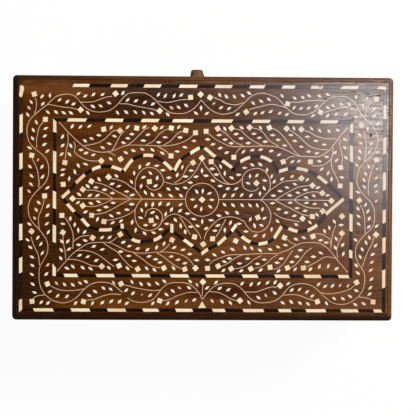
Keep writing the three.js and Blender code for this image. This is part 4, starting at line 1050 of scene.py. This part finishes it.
# Leaves of the field and the medallion: (x, y, angle of the leaf's length).
fieldLeaves = [
    (-131.5, 71.4, 55), (-123.3, 71, 50), (-114.4, 71.8, 40), (-92.5, 70.7, 60), (-76.2, 71, 45),
    (-59.4, 71.3, 40), (-42.1, 70.9, 40), (-25, 71.5, 50), (-141.1, 61.1, 60), (-104.9, 62.7, -5),
    (-112.1, 59.4, -25), (-118.7, 57.1, -35), (-89.3, 61.9, -15), (-71.8, 64.1, -5), (-55.7, 63.6, 10),
    (-75.9, 59.8, -3), (-60.4, 57.7, 0), (-94.4, 54.4, -15), (-80.3, 55.4, -25), (-141, 52.2, 45),
    (-132.8, 52, -60), (-122.6, 47.9, 0), (-101.1, 50.4, -25), (-77.8, 45.4, -25), (-70.4, 47.5, -20),
    (-61.4, 48.9, -30), (-51.2, 48.4, -40), (-41.3, 45.2, -30), (-117.6, 44.8, 25), (-110.4, 43, 25),
    (-141.9, 43.6, 45), (-134.1, 43.4, -50), (-92.9, 39.1, -40), (-125.3, 32.3, -60),
    (-118, 33.7, -20), (-140.5, 28.1, 15), (-141.1, 22.9, 25), (-128.7, 25.9, -70), (-134.3, 19.1, 85),
    (-38.6, 61.1, 0), (-23.6, 61.1, 0), (-45, 56.1, 0), (-9.6, 57.7, -5), (-18.7, 51.3, -15),
    (-26.4, 47, -5),
    (21.3, 70.1, -60), (38.1, 71.3, -35), (57.1, 71.3, -50), (90.7, 71, -65), (108.4, 70.9, -50),
    (116.6, 68.8, -55), (126, 68.3, -55), (134.8, 69.6, -30), (15.6, 63.7, 5), (32.6, 64.9, 15),
    (4.1, 59.3, -5), (21.6, 59.3, 0), (37.7, 60.6, 5), (27.7, 55.6, 0), (44.9, 55.9, 5), (9.4, 54.4, 15),
    (16.8, 50.7, 20), (23.2, 46.1, 25), (40, 47.2, 45), (49, 48.8, 15), (50.6, 65.2, 0),
    (55.9, 61.3, 5), (61.9, 57.4, 5), (69.4, 64.1, -3), (74.9, 59.4, 0), (81.4, 53.7, -5),
    (87.6, 64.3, -3), (91.7, 58.3, -10), (98.2, 52.6, -5), (104.3, 62.7, 0), (112.9, 58.6, -5),
    (121.4, 54.9, 5), (57.3, 49.3, 15), (68.1, 48.1, 15), (75.9, 44.4, 30), (105.6, 47.7, 0),
    (113.9, 46.1, 15), (123.9, 42.5, -10), (132.3, 47, 45), (133.9, 39.1, 45), (143.4, 41.9, -45),
    (142.1, 51.9, -40), (142.3, 60.2, -35), (89.3, 37.5, 30), (96, 38.1, 30), (116.6, 38.1, -15),
    (118.9, 30.2, 40), (125.5, 26.3, 65), (128.9, 20.2, 85), (139.3, 22.1, -20),
    (-133, -20.9, 85), (-140.5, -26.1, -5), (-128.6, -26.9, 85), (-125.1, -32.5, -85),
    (-118.7, -34.3, 50), (-141.4, -43.7, -50), (-135.5, -43.7, 50), (-118.1, -42.7, -15),
    (-101.2, -39.7, 40), (-93.7, -39.5, 35), (-79.9, -44.3, 25), (-124.6, -47.1, -5),
    (-109.4, -48.6, 20), (-73.9, -48.2, 20), (-134.2, -51.4, 35), (-141.9, -52.5, -50),
    (-65.5, -50.6, 20), (-55.7, -51.6, 35), (-100.9, -51.6, 15), (-82.6, -53.7, 0),
    (-123.6, -57.6, 20), (-115.4, -58.9, 25), (-74.4, -58, 0), (-54.1, -58.4, 15),
    (-142.4, -60.6, -50), (-106.9, -62.6, 25), (-87.6, -62, 5), (-68.9, -62.9, -5),
    (-136.2, -70.6, -25), (-130.3, -68.9, -50), (-120.4, -70, -40), (-112.6, -70.9, -35),
    (-94.3, -70, -45), (-75.6, -70.4, -50), (-56.4, -70.4, -45), (-48.7, -71.8, -45),
    (-39.1, -45.5, 70), (-46.6, -49.4, 70), (-28.9, -49.3, 30), (-20, -51.6, 15), (-13.4, -55.9, 0),
    (-6.4, -62, -5), (-31.8, -58.4, 10), (-24.9, -61.6, 10), (-18.2, -65.1, 10), (-43, -64.4, 10),
    (-47.5, -61.3, 0), (-29.5, -70, -50),
    (4.6, -61.6, -5), (11.6, -56.6, -30), (20.1, -53.7, -30), (29.6, -50.9, -30), (42.1, -49.3, -55),
    (48.9, -49.6, -50), (26.4, -60.1, -3), (21.6, -63.4, -15), (44.9, -60.2, 0), (36.8, -65.1, -3),
    (20.7, -72.1, 40), (38.6, -72.5, 30), (132.1, -22.5, -60), (138.9, -25.9, 5), (122.3, -32.1, -65),
    (127.1, -28.9, -75), (134.1, -39.8, -60), (140.7, -45.9, 55), (118.4, -41.3, 5), (124.1, -43.6, 5),
    (133.2, -48.8, -60), (93.5, -40.4, -30), (101.4, -38.9, -30), (82.9, -46.4, -10),
    (75.5, -48.4, -25), (67.6, -50.7, -25), (57.3, -51.8, -35), (98, -51.4, 0), (118.6, -54.1, -25),
    (141.4, -54.9, 75), (94.6, -58, 0), (111.2, -58, -3), (78.7, -60, 10), (61.7, -61.1, 0),
    (74.6, -64.1, 0), (89.6, -63.4, 0), (104.8, -63.2, 0), (54.9, -65.4, 0), (58.2, -71.6, 35),
    (76.1, -72.5, 35), (92.9, -70.7, 50), (108.2, -70.7, 50), (117.4, -67.9, 65), (126.4, -67.4, 65),
    (134.6, -70, 30),
]
medallionLeaves = [
    (-87.1, 22, -40), (-104.4, 18.6, -50), (-91.4, 14.1, 15), (-72.1, 16.3, -55), (-84.6, 11.9, 20),
    (-115.7, 11.6, -40), (-107.5, 10.4, 0), (-98.9, 8.3, 10), (-76.7, 6.6, 0), (-91.1, 4.9, 0),
    (-124.4, 3.5, -40), (-113.6, 2.4, 30), (-106, 2.5, 30), (-71.2, 3.1, 20), (-63.9, 31.3, 75),
    (-55.6, 34.1, 35), (-53.2, 25.2, -45), (-60.1, 20.9, 25), (-69.4, 25, 90), (-62.4, 12, 75),
    (-58.1, 5.6, -60), (-51.2, 3.6, -50), (-48, 12.4, 25), (-46.8, 32.6, 5), (-40.7, 28.1, -5),
    (-46.3, 20.2, 75), (-34.6, 20.7, 5), (-21.2, 31.3, 75), (-26.3, 23.4, 65), (-12.3, 27.9, 0),
    (-17.9, 21.9, 0), (-7.3, 21.8, 10), (-1.4, 27.7, 90), (2.6, 22.9, -5), (8.8, 29.9, 0),
    (17.3, 32.1, -70), (21.4, 25.4, 90), (13, 24.1, -10), (28.4, 21, -35), (35.4, 24, 0),
    (41.4, 31.1, 0), (48.9, 34.1, -30), (46.8, 22.7, 85), (44.9, 15.6, -20), (-13.1, 15.9, 0),
    (9.4, 17.9, -25), (16.9, 12.6, 0), (-35, 9.3, -35), (-26.1, 9.6, -25), (-18.2, 10.6, -15),
    (24.6, 10, 20), (33, 9.9, 35), (-43.4, 3.1, -45), (-32.6, 2.7, -35), (-22.3, 2.7, -40),
    (21.2, 3.1, 50), (29.9, 3.3, 45), (38.6, 3.6, 50), (47.7, 3.2, 40),
    (57.1, 34.6, -40), (63.9, 29, 80), (53.7, 23.4, 50), (68.6, 22.6, 75), (61.7, 18.4, -15),
    (71.2, 17.4, 60), (79.1, 20.1, 40), (89.3, 22.7, 35), (104.6, 19.5, 50), (61.1, 10.6, -60),
    (84.2, 11.6, -15), (92, 14.9, -25), (115.3, 11.6, 20), (77.1, 7.9, -5), (102.6, 9.3, 5),
    (95.1, 6.4, -5), (56.9, 5.2, 85), (70.5, 3.3, 0), (86.9, 3.6, -10), (111.2, 3.3, -25),
    (125.1, 3.9, 10), (103.6, 1.6, -15),
    (-125.4, -4.8, 35), (-112.4, -5.5, -25), (-104.9, -3.8, -20), (-90.3, -4.9, 0), (-71.6, -6.2, 0),
    (-97.4, -9.1, 0), (-76.4, -11.6, -5), (-104.3, -12.3, 5), (-117.9, -14.1, 30), (-84.9, -15.1, -10),
    (-92.1, -17.9, -30), (-105.9, -21.4, 65), (-61.6, -12, -75), (-57.4, -6.6, 85), (-50.7, -6.4, 75),
    (-50.7, -14.3, 20), (-62.8, -19.6, -15), (-57.6, -27.1, -5), (-71.2, -24.1, 80), (-82.3, -23, 40),
    (-90.7, -24.8, 30), (-48.7, -26.8, 30), (-67.6, -32.1, 85), (-58.7, -35.2, -45),
    (-49.6, -34.6, -20),
    (-43.4, -5.6, 60), (-35.2, -5.9, 45), (-22.9, -6.3, 35), (21.4, -6.1, -45), (30, -6.6, -40),
    (39.1, -6.6, -45), (47, -6.6, -45), (-31.8, -11.3, 60), (-23.2, -12.4, 40), (-37.6, -15.9, 75),
    (-15.7, -15.2, 0), (15.9, -17.1, -15), (23.9, -14.3, -40), (34.1, -14.1, -45), (-46.3, -19.1, -55),
    (-9.4, -20.7, -10), (-0.9, -23.2, 88), (7.9, -21.8, -5), (47.4, -20.7, 65), (-27.9, -21.6, -50),
    (27.4, -24.3, 65), (-36.4, -25.6, 0), (-22.5, -27.5, -80), (-12.5, -28.4, -5), (-5.6, -27.5, -20),
    (14.9, -27, 20), (36.1, -25.2, 5), (3.1, -30, 30), (21.8, -31.6, 85), (11.9, -32.3, 0),
    (-42.6, -31.1, 5), (-18, -33.6, -75), (43.1, -32.9, 0),
    (69.6, -4.4, 10), (87.5, -3.8, 5), (103.9, -3.9, 10), (112.1, -4.8, 10), (123.4, -5.4, -35),
    (54.3, -6.6, -65), (94.4, -9.1, 0), (59.6, -10.5, 75), (75.9, -10.4, 5), (102.5, -11.8, 5),
    (83.4, -13.8, 0), (114.6, -15.6, -50), (91.7, -16.9, 10), (61.6, -19.5, 35), (74.8, -22.4, -45),
    (93.7, -25.7, -25), (107.4, -23.4, -45), (51.7, -27, -75), (58.5, -26.6, -25), (68.9, -30.7, 85),
    (52.5, -37.1, 30), (61.2, -37, 60),
    (-6.6, 6.8, -55), (-0.6, 7.5, 85), (6.2, 5.2, 25), (8.6, -1.3, 0), (7, -8.2, -40), (-2, -10.6, 80),
    (-7.6, -7.9, 40), (-10.7, -1.1, 0),
]


def addRing(lines, flowers, crosses, x, y, reach, parts):
    turns = [math.tau * k / parts for k in range(parts + 1)]
    circle = [(x + reach * math.cos(turn), y + reach * math.sin(turn)) for turn in turns]
    addStrip(lines, circle, inlaySet["stemWidth"], inlaySet["stemTop"])
    addFlower(flowers, x, y, 45, crosses)


# Stems that meet lie a hair lower, one than the next, so no two of their faces share a height.
def makeSprays(name, stems, leaves, replaced, ring=None):
    lines, flowers, leafStore, crosses = newStore(), newStore(), newStore(), newStore()
    for k, (flower, points) in enumerate(stems):
        if points:
            addStrip(lines, smoothLine(points), inlaySet["stemWidth"],
                     inlaySet["stemTop"] - inlaySet["stemDrop"] * (k % inlaySet["stemLevels"]))
        if flower:
            addFlower(flowers, *flower, joints=crosses)
    if ring:
        addRing(lines, flowers, crosses, **ring)
    for leaf in leaves:
        addLeaf(leafStore, *leaf)
    made = makePiece(name + "_stems", lines, stemBone)
    makePiece(name + "_flowers", flowers, bone)
    makePiece(name + "_leaves", leafStore, leafBone)
    makePiece(name + "_flower_joints", crosses, stain)
    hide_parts(*replaced)


def makeLooseInlay(look):
    triangle, worn, lost = newStore(), newStore(), newStore()
    addPlate(triangle, look["triangle"], inlaySet["boneTop"])
    makePiece("border_bone_triangle", triangle, bone)
    for leaf in look["wornLeaves"]:
        addLeaf(worn, *leaf)
    for leaf in look["lostLeaves"]:
        addLeaf(lost, *leaf, top="ebonyTop")
    makePiece("worn_leaves", worn, stemBone)
    makePiece("lost_leaf_fillings", lost, lostLac)


makeSprays("border", [(None, vine) for vine in borderVines] + borderStems, borderLeaves,
           ["border_vine"])
makeSprays("field", fieldStems, fieldLeaves,
           [end + "_" + side + "_spray" for end in ("front", "back") for side in ("right", "left")])
makeSprays("medallion", scrollStems, medallionLeaves, ["medallion_scroll"], scrollRing)
makeLooseInlay(looseSet)
print("vines, leaves and flowers made")

# Wear: two corner slips with their edges gone, chips out of two others, and dark marks in the wood.
wearSet = dict(
    slips=[[(-183.8, 111.8), (-184, 105.9), (-184.7, 102.3), (-184.1, 100.7), (-182.4, 99.7),
            (-181.1, 101.8), (-180.5, 105.1), (-179.8, 107.9), (-179.7, 110.7), (-181.9, 112.5)],
           [(173.9, 111), (178.5, 110.7), (183.2, 110.1), (184, 112.4), (183.2, 113.7), (175.9, 114.1)],
           [(61, 114.3), (62.3, 114.2), (62.4, 115.3), (61.4, 115.4)]],
    chips=[[(114.5, 114.2), (114.9, 113), (116.6, 112.7), (118.7, 112.9), (119.4, 114.2)],
           [(136.6, 112.5), (138.6, 112.6), (141.8, 114.2), (136.8, 114.2)]],
    marks=[  # x, y, angle, length, width
        (150, 80, 20, 2.8, 2.2), (-172.8, 113.2, 0, 12, 1.3), (169, 104, 16, 6, 0.9),
        (176.5, 104.5, -3, 10, 0.9), (182.6, 106.2, 60, 5.5, 0.8), (150.5, 108.3, -8, 8, 0.7),
        (163, 107.2, -25, 7, 0.7), (166, 106, 20, 5, 0.7), (122.8, 62, 60, 2, 0.9),
        (181.5, -107.6, 70, 4.2, 2), (182.6, -110.4, -20, 3.4, 2.4), (181, -112, 10, 2.6, 1.2),
        (62.6, 116.2, 60, 4.5, 0.9), (74, 117.2, 2, 3.5, 0.9), (78.3, 117.3, -3, 4.5, 0.8),
        (83, 117.2, 4, 5, 1.2), (88.2, 117, -2, 5, 1.1), (93.4, 117.1, 3, 5, 1),
        (97.4, 117, 0, 2.6, 0.7), (74.2, 71.4, 85, 3.6, 0.7), (113.4, 60.7, 5, 7, 0.5),
    ],
    markCorners=9, raggedLength=(0.8, 1.1), raggedWidth=(0.6, 1.2),
)


def addMark(store, look, x, y, angle, length, width):
    turn, outline = math.radians(angle), []
    for k in range(look["markCorners"]):
        way = math.tau * k / look["markCorners"]
        a = length / 2 * math.cos(way) * chance.uniform(*look["raggedLength"])
        b = width / 2 * math.sin(way) * chance.uniform(*look["raggedWidth"])
        outline.append((x + a * math.cos(turn) - b * math.sin(turn),
                        y + a * math.sin(turn) + b * math.cos(turn)))
    addPlate(store, outline, inlaySet["markTop"], turn)


def makeWear(look):
    boneStore, lacStore, chipStore = newStore(), newStore(), newStore()
    for outline in look["slips"]:
        addPlate(boneStore, outline, inlaySet["boneTop"])
    for outline in look["chips"]:
        addPlate(chipStore, outline, inlaySet["markTop"])
    for mark in look["marks"]:
        addMark(lacStore, look, *mark)
    makePiece("worn_corner_slips", boneStore, bone)
    makePiece("lac_in_cracks", lacStore, lac)
    makePiece("ebony_in_chips", chipStore, ebony)


makeWear(wearSet)


# A solid through rings of points, each ring turning to the left as seen from the last one's side.
def addLoft(store, rings):
    count, first = len(rings[0]), len(store["verts"])
    for ring in rings:
        store["verts"] += [tuple(value * mm for value in point) for point in ring]
        store["slips"] += [(point[0], point[1]) for point in ring]
    for r in range(len(rings) - 1):
        for k in range(count):
            a, b = first + r * count + k, first + r * count + (k + 1) % count
            store["faces"].append((a, b, b + count, a + count))
    store["faces"].append(tuple(range(first + count - 1, first - 1, -1)))
    last = first + count * (len(rings) - 1)
    store["faces"].append(tuple(range(last, last + count)))


def rectangle(x, y, z):
    return [(-x, -y, z), (x, -y, z), (x, y, z), (-x, y, z)]


# The lid's top board, its arrises eased: (height from the top, way in from the sides) in mm.
boardEasing = [(-0.35, 0.0), (-0.105, 0.105), (0.0, 0.35)]


def makePanel(top):
    store, x, y = newStore(), panelHigh.x / mm, panelHigh.y / mm
    rings = [rectangle(x - inset, y - inset, top + height) for height, inset in boardEasing]
    addLoft(store, [rectangle(x, y, panelLow.z / mm)] + rings)
    panel = makePiece("lid_top_board", store, panelWood)
    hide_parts("lid_panel")


makePanel(inlaySet["panelTop"])
print("lid board made")

# Lid moulding: a rounded lip and a fine quirk beside the board, mitred at the corners. Each side is
# made as the front is: a section of (outwards, z), drawn along the side and round its two corners.
lipSet = dict(
    corner=4.0, radius=1.9, undercut=1.2, steps=5,
    quirk=0.35, quirkDepth=0.3, quirkEasing=0.25, quirkLean=0.1,
    fan=0.05,  # mm that the inner points step back for each degree of the corner
    smoothBelow=35,  # degrees between faces
)
sideTurns = dict(front=0, right=1, back=2, left=3)


def lipSection(reach, bottom, top, look):
    section = [(0.0, bottom), (reach - look["undercut"], bottom), (reach, bottom + look["undercut"])]
    for k in range(look["steps"] + 1):
        way = math.radians(90 * k / look["steps"])
        section.append((reach - look["radius"] * (1 - math.cos(way)),
                        top - look["radius"] * (1 - math.sin(way))))
    quirk, floor = look["quirk"], top - look["quirkDepth"]
    return section + [(quirk + look["quirkEasing"], top), (quirk, top - look["quirkEasing"]),
                      (quirk - look["quirkLean"], floor), (0.0, floor)]


def quarterTurn(x, y, turns):
    for _ in range(turns):
        x, y = -y, x
    return x, y


def makeLip(side, look):
    low, high = (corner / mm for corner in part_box("lid_" + side + "_moulding"))
    half, face = panelHigh.x / mm, panelHigh.y / mm
    reach = -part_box("lid_front_moulding")[0].y / mm - face
    if side in ("right", "left"):
        half, face = face, half
    section, centre = lipSection(reach, low.z, high.z, look), reach - look["corner"]
    ways = [45 * k / look["steps"] for k in range(look["steps"] + 1)]
    rings = []
    for way, end in [(way, 1) for way in reversed(ways)] + [(way, -1) for way in ways]:
        ring, bend = [], math.radians(way)
        for out, z in section:
            along, away = half + out - (45 - way) * look["fan"], face + out
            if out > centre:
                along = half + centre + (out - centre) * math.sin(bend)
                away = face + centre + (out - centre) * math.cos(bend)
            ring.append((*quarterTurn(end * along, -away, sideTurns[side]), z))
        rings.append(ring)
    store = newStore()
    addLoft(store, rings)
    piece = makePiece("lip_" + side, store, lipWoods[side])
    roundOff(piece.data)
    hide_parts("lid_" + side + "_moulding")


def roundOff(mesh):
    mesh.shade_smooth()
    mesh.set_sharp_from_angle(angle=math.radians(lipSet["smoothBelow"]))


for sideName in sideTurns:
    makeLip(sideName, lipSet)

# Thumb tab: a flat worn facet on top, wide chamfers round it, and an undercut for the thumb.
tabSet = dict(
    leftFlare=2.2, rightFlare=0.9, corner=2.4, undercut=4.5, steps=4,
    levels=[  # down from the top, then how far in from the left, the right and the tip
        (3.5, 0, 0, 0), (0.9, 1.5, 1, 0.8), (0.4, 2.1, 1.4, 1.2), (0, 3, 1.9, 1.7)],
    sideRun=4, tipRun=6,  # the chamfers fade out over these lengths, in mm
    flankTilt=0.85,
)


def makeTab(look):
    low, high = (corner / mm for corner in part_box("thumb_tab"))
    face, lip = panelLow.y / mm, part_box("lid_front_moulding")[0].y / mm
    tip, left, right = low.y, low.x + look["leftFlare"], high.x - look["rightFlare"]
    ways = [math.radians(90 * k / look["steps"]) for k in range(look["steps"] + 1)]
    bend = [(look["corner"] * (1 - math.cos(way)), look["corner"] * (1 - math.sin(way))) for way in ways]
    plan = [(low.x, face), (low.x, lip)]
    plan += [(left + x, tip + y) for x, y in bend]
    plan += [(right - x, tip + y) for x, y in reversed(bend)]
    plan += [(high.x, lip), (high.x, face)]
    middle = (left + right) / 2
    rings = [[(x, y, low.z + look["undercut"] * min(1, max(0, (lip - y) / (lip - tip))))
              for x, y in plan]]
    for drop, fromLeft, fromRight, fromTip in look["levels"]:
        ring = []
        for x, y in plan:
            inset = fromLeft if x < middle else -fromRight
            ring.append((x + inset * min(1, abs(x - middle) / look["sideRun"]),
                         y + fromTip * min(1, max(0, (lip - y) / look["tipRun"])), high.z - drop))
        rings.append(ring)
    store = newStore()
    addLoft(store, rings)
    piece = makePiece("worn_thumb_tab", store, tabWood)
    piece.data.materials.append(flankWood)
    for polygon in piece.data.polygons:
        if polygon.normal.z < look["flankTilt"]:
            polygon.material_index = 1
    roundOff(piece.data)
    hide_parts("thumb_tab")


makeTab(tabSet)
print("lip and thumb tab made")

# Case stringing: the same chequer let into the front and the two ends.
caseStringingSet = dict(bonePitch=36.0, boneShare=0.52, slant=2.2, fewest=3, top=-0.02)


# A wall's own picture: x to the right as seen from outside, y up, z outwards from its face.
def onWall(wall, face):
    def lay(x, y, z):
        level = dict(front=(x, face - z), left=(face - z, -x), right=(face + z, x))[wall]
        return level[0] * mm, level[1] * mm, y * mm
    return lay


def makeCaseStringing(wall, look):
    node = "case_" + wall + "_stringing"
    low, high = (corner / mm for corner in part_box(node))
    stores = {"bone": newStore(), "ebony": newStore()}
    width, slant = outerSet["width"], look["slant"]
    lay = onWall(wall, dict(front=low.y, left=low.x, right=high.x)[wall])
    start, end = (low.x, high.x) if wall == "front" else (low.y, high.y)
    rows = [((start, z), (end, z), slant) for z in (low.z + width / 2, high.z - width / 2)]
    rows += [((x, low.z + width), (x, high.z - width), -slant)
             for x in (start + width / 2, end - width / 2)]
    turn = -1 if wall == "left" else 1  # the left wall's rows run to the left in its picture
    for first, last, lean in rows:
        addWallRow(stores, lay, (turn * first[0], first[1]), (turn * last[0], last[1]), turn * lean, look)
    made = makePiece("case_" + wall + "_stringing_bone", stores["bone"], bone, "case")
    makePiece("case_" + wall + "_stringing_ebony", stores["ebony"], ebony, "case")
    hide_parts(node)


def addWallRow(stores, lay, start, end, slant, look):
    run, gap = math.dist(start, end), inlaySet["joint"] / 2
    wayX, wayY = (end[0] - start[0]) / run, (end[1] - start[1]) / run
    count = max(look["fewest"], round(run / look["bonePitch"]))
    edges = [0.0]
    for k in range(count):
        middle, half = k + 0.5, look["boneShare"] / 2
        edges += [(middle - half) * run / count, (middle + half) * run / count]
    edges.append(run)
    for k, (a, b) in enumerate(zip(edges, edges[1:])):
        line = [(start[0] + wayX * place, start[1] + wayY * place) for place in (a + gap, b - gap)]
        slants = (slant if k else 0.0, slant if b < run else 0.0)
        addStrip(stores["bone" if k % 2 else "ebony"], line, outerSet["width"], look["top"], slants, lay)


for wallName in ("front", "left", "right"):
    makeCaseStringing(wallName, caseStringingSet)
print("case stringing made")

# The CAD pieces that stay, each with its wood or metal, and a little easing on its edges in mm.
edgeSet = dict(wood=0.45, brass=0.2, segments=2, sharpAbove=40)


def finishNode(name, material, ease):
    node = nodes[name]
    node.data.materials.clear()
    node.data.materials.append(material)
    bevel = node.modifiers.new("eased edges", "BEVEL")
    bevel.width, bevel.segments, bevel.limit_method = ease * mm, edgeSet["segments"], "ANGLE"
    bevel.angle_limit = math.radians(edgeSet["sharpAbove"])
    bevel.harden_normals = False


for nodeName in sorted(nodes):
    if nodes[nodeName].hide_render:
        continue
    if "hinge" in nodeName:
        finishNode(nodeName, brass, edgeSet["brass"])
    elif "left" in nodeName or "right" in nodeName:
        finishNode(nodeName, woods["Y"], edgeSet["wood"])
    else:
        finishNode(nodeName, woods["X"], edgeSet["wood"])
print("frame finished in rosewood and brass")
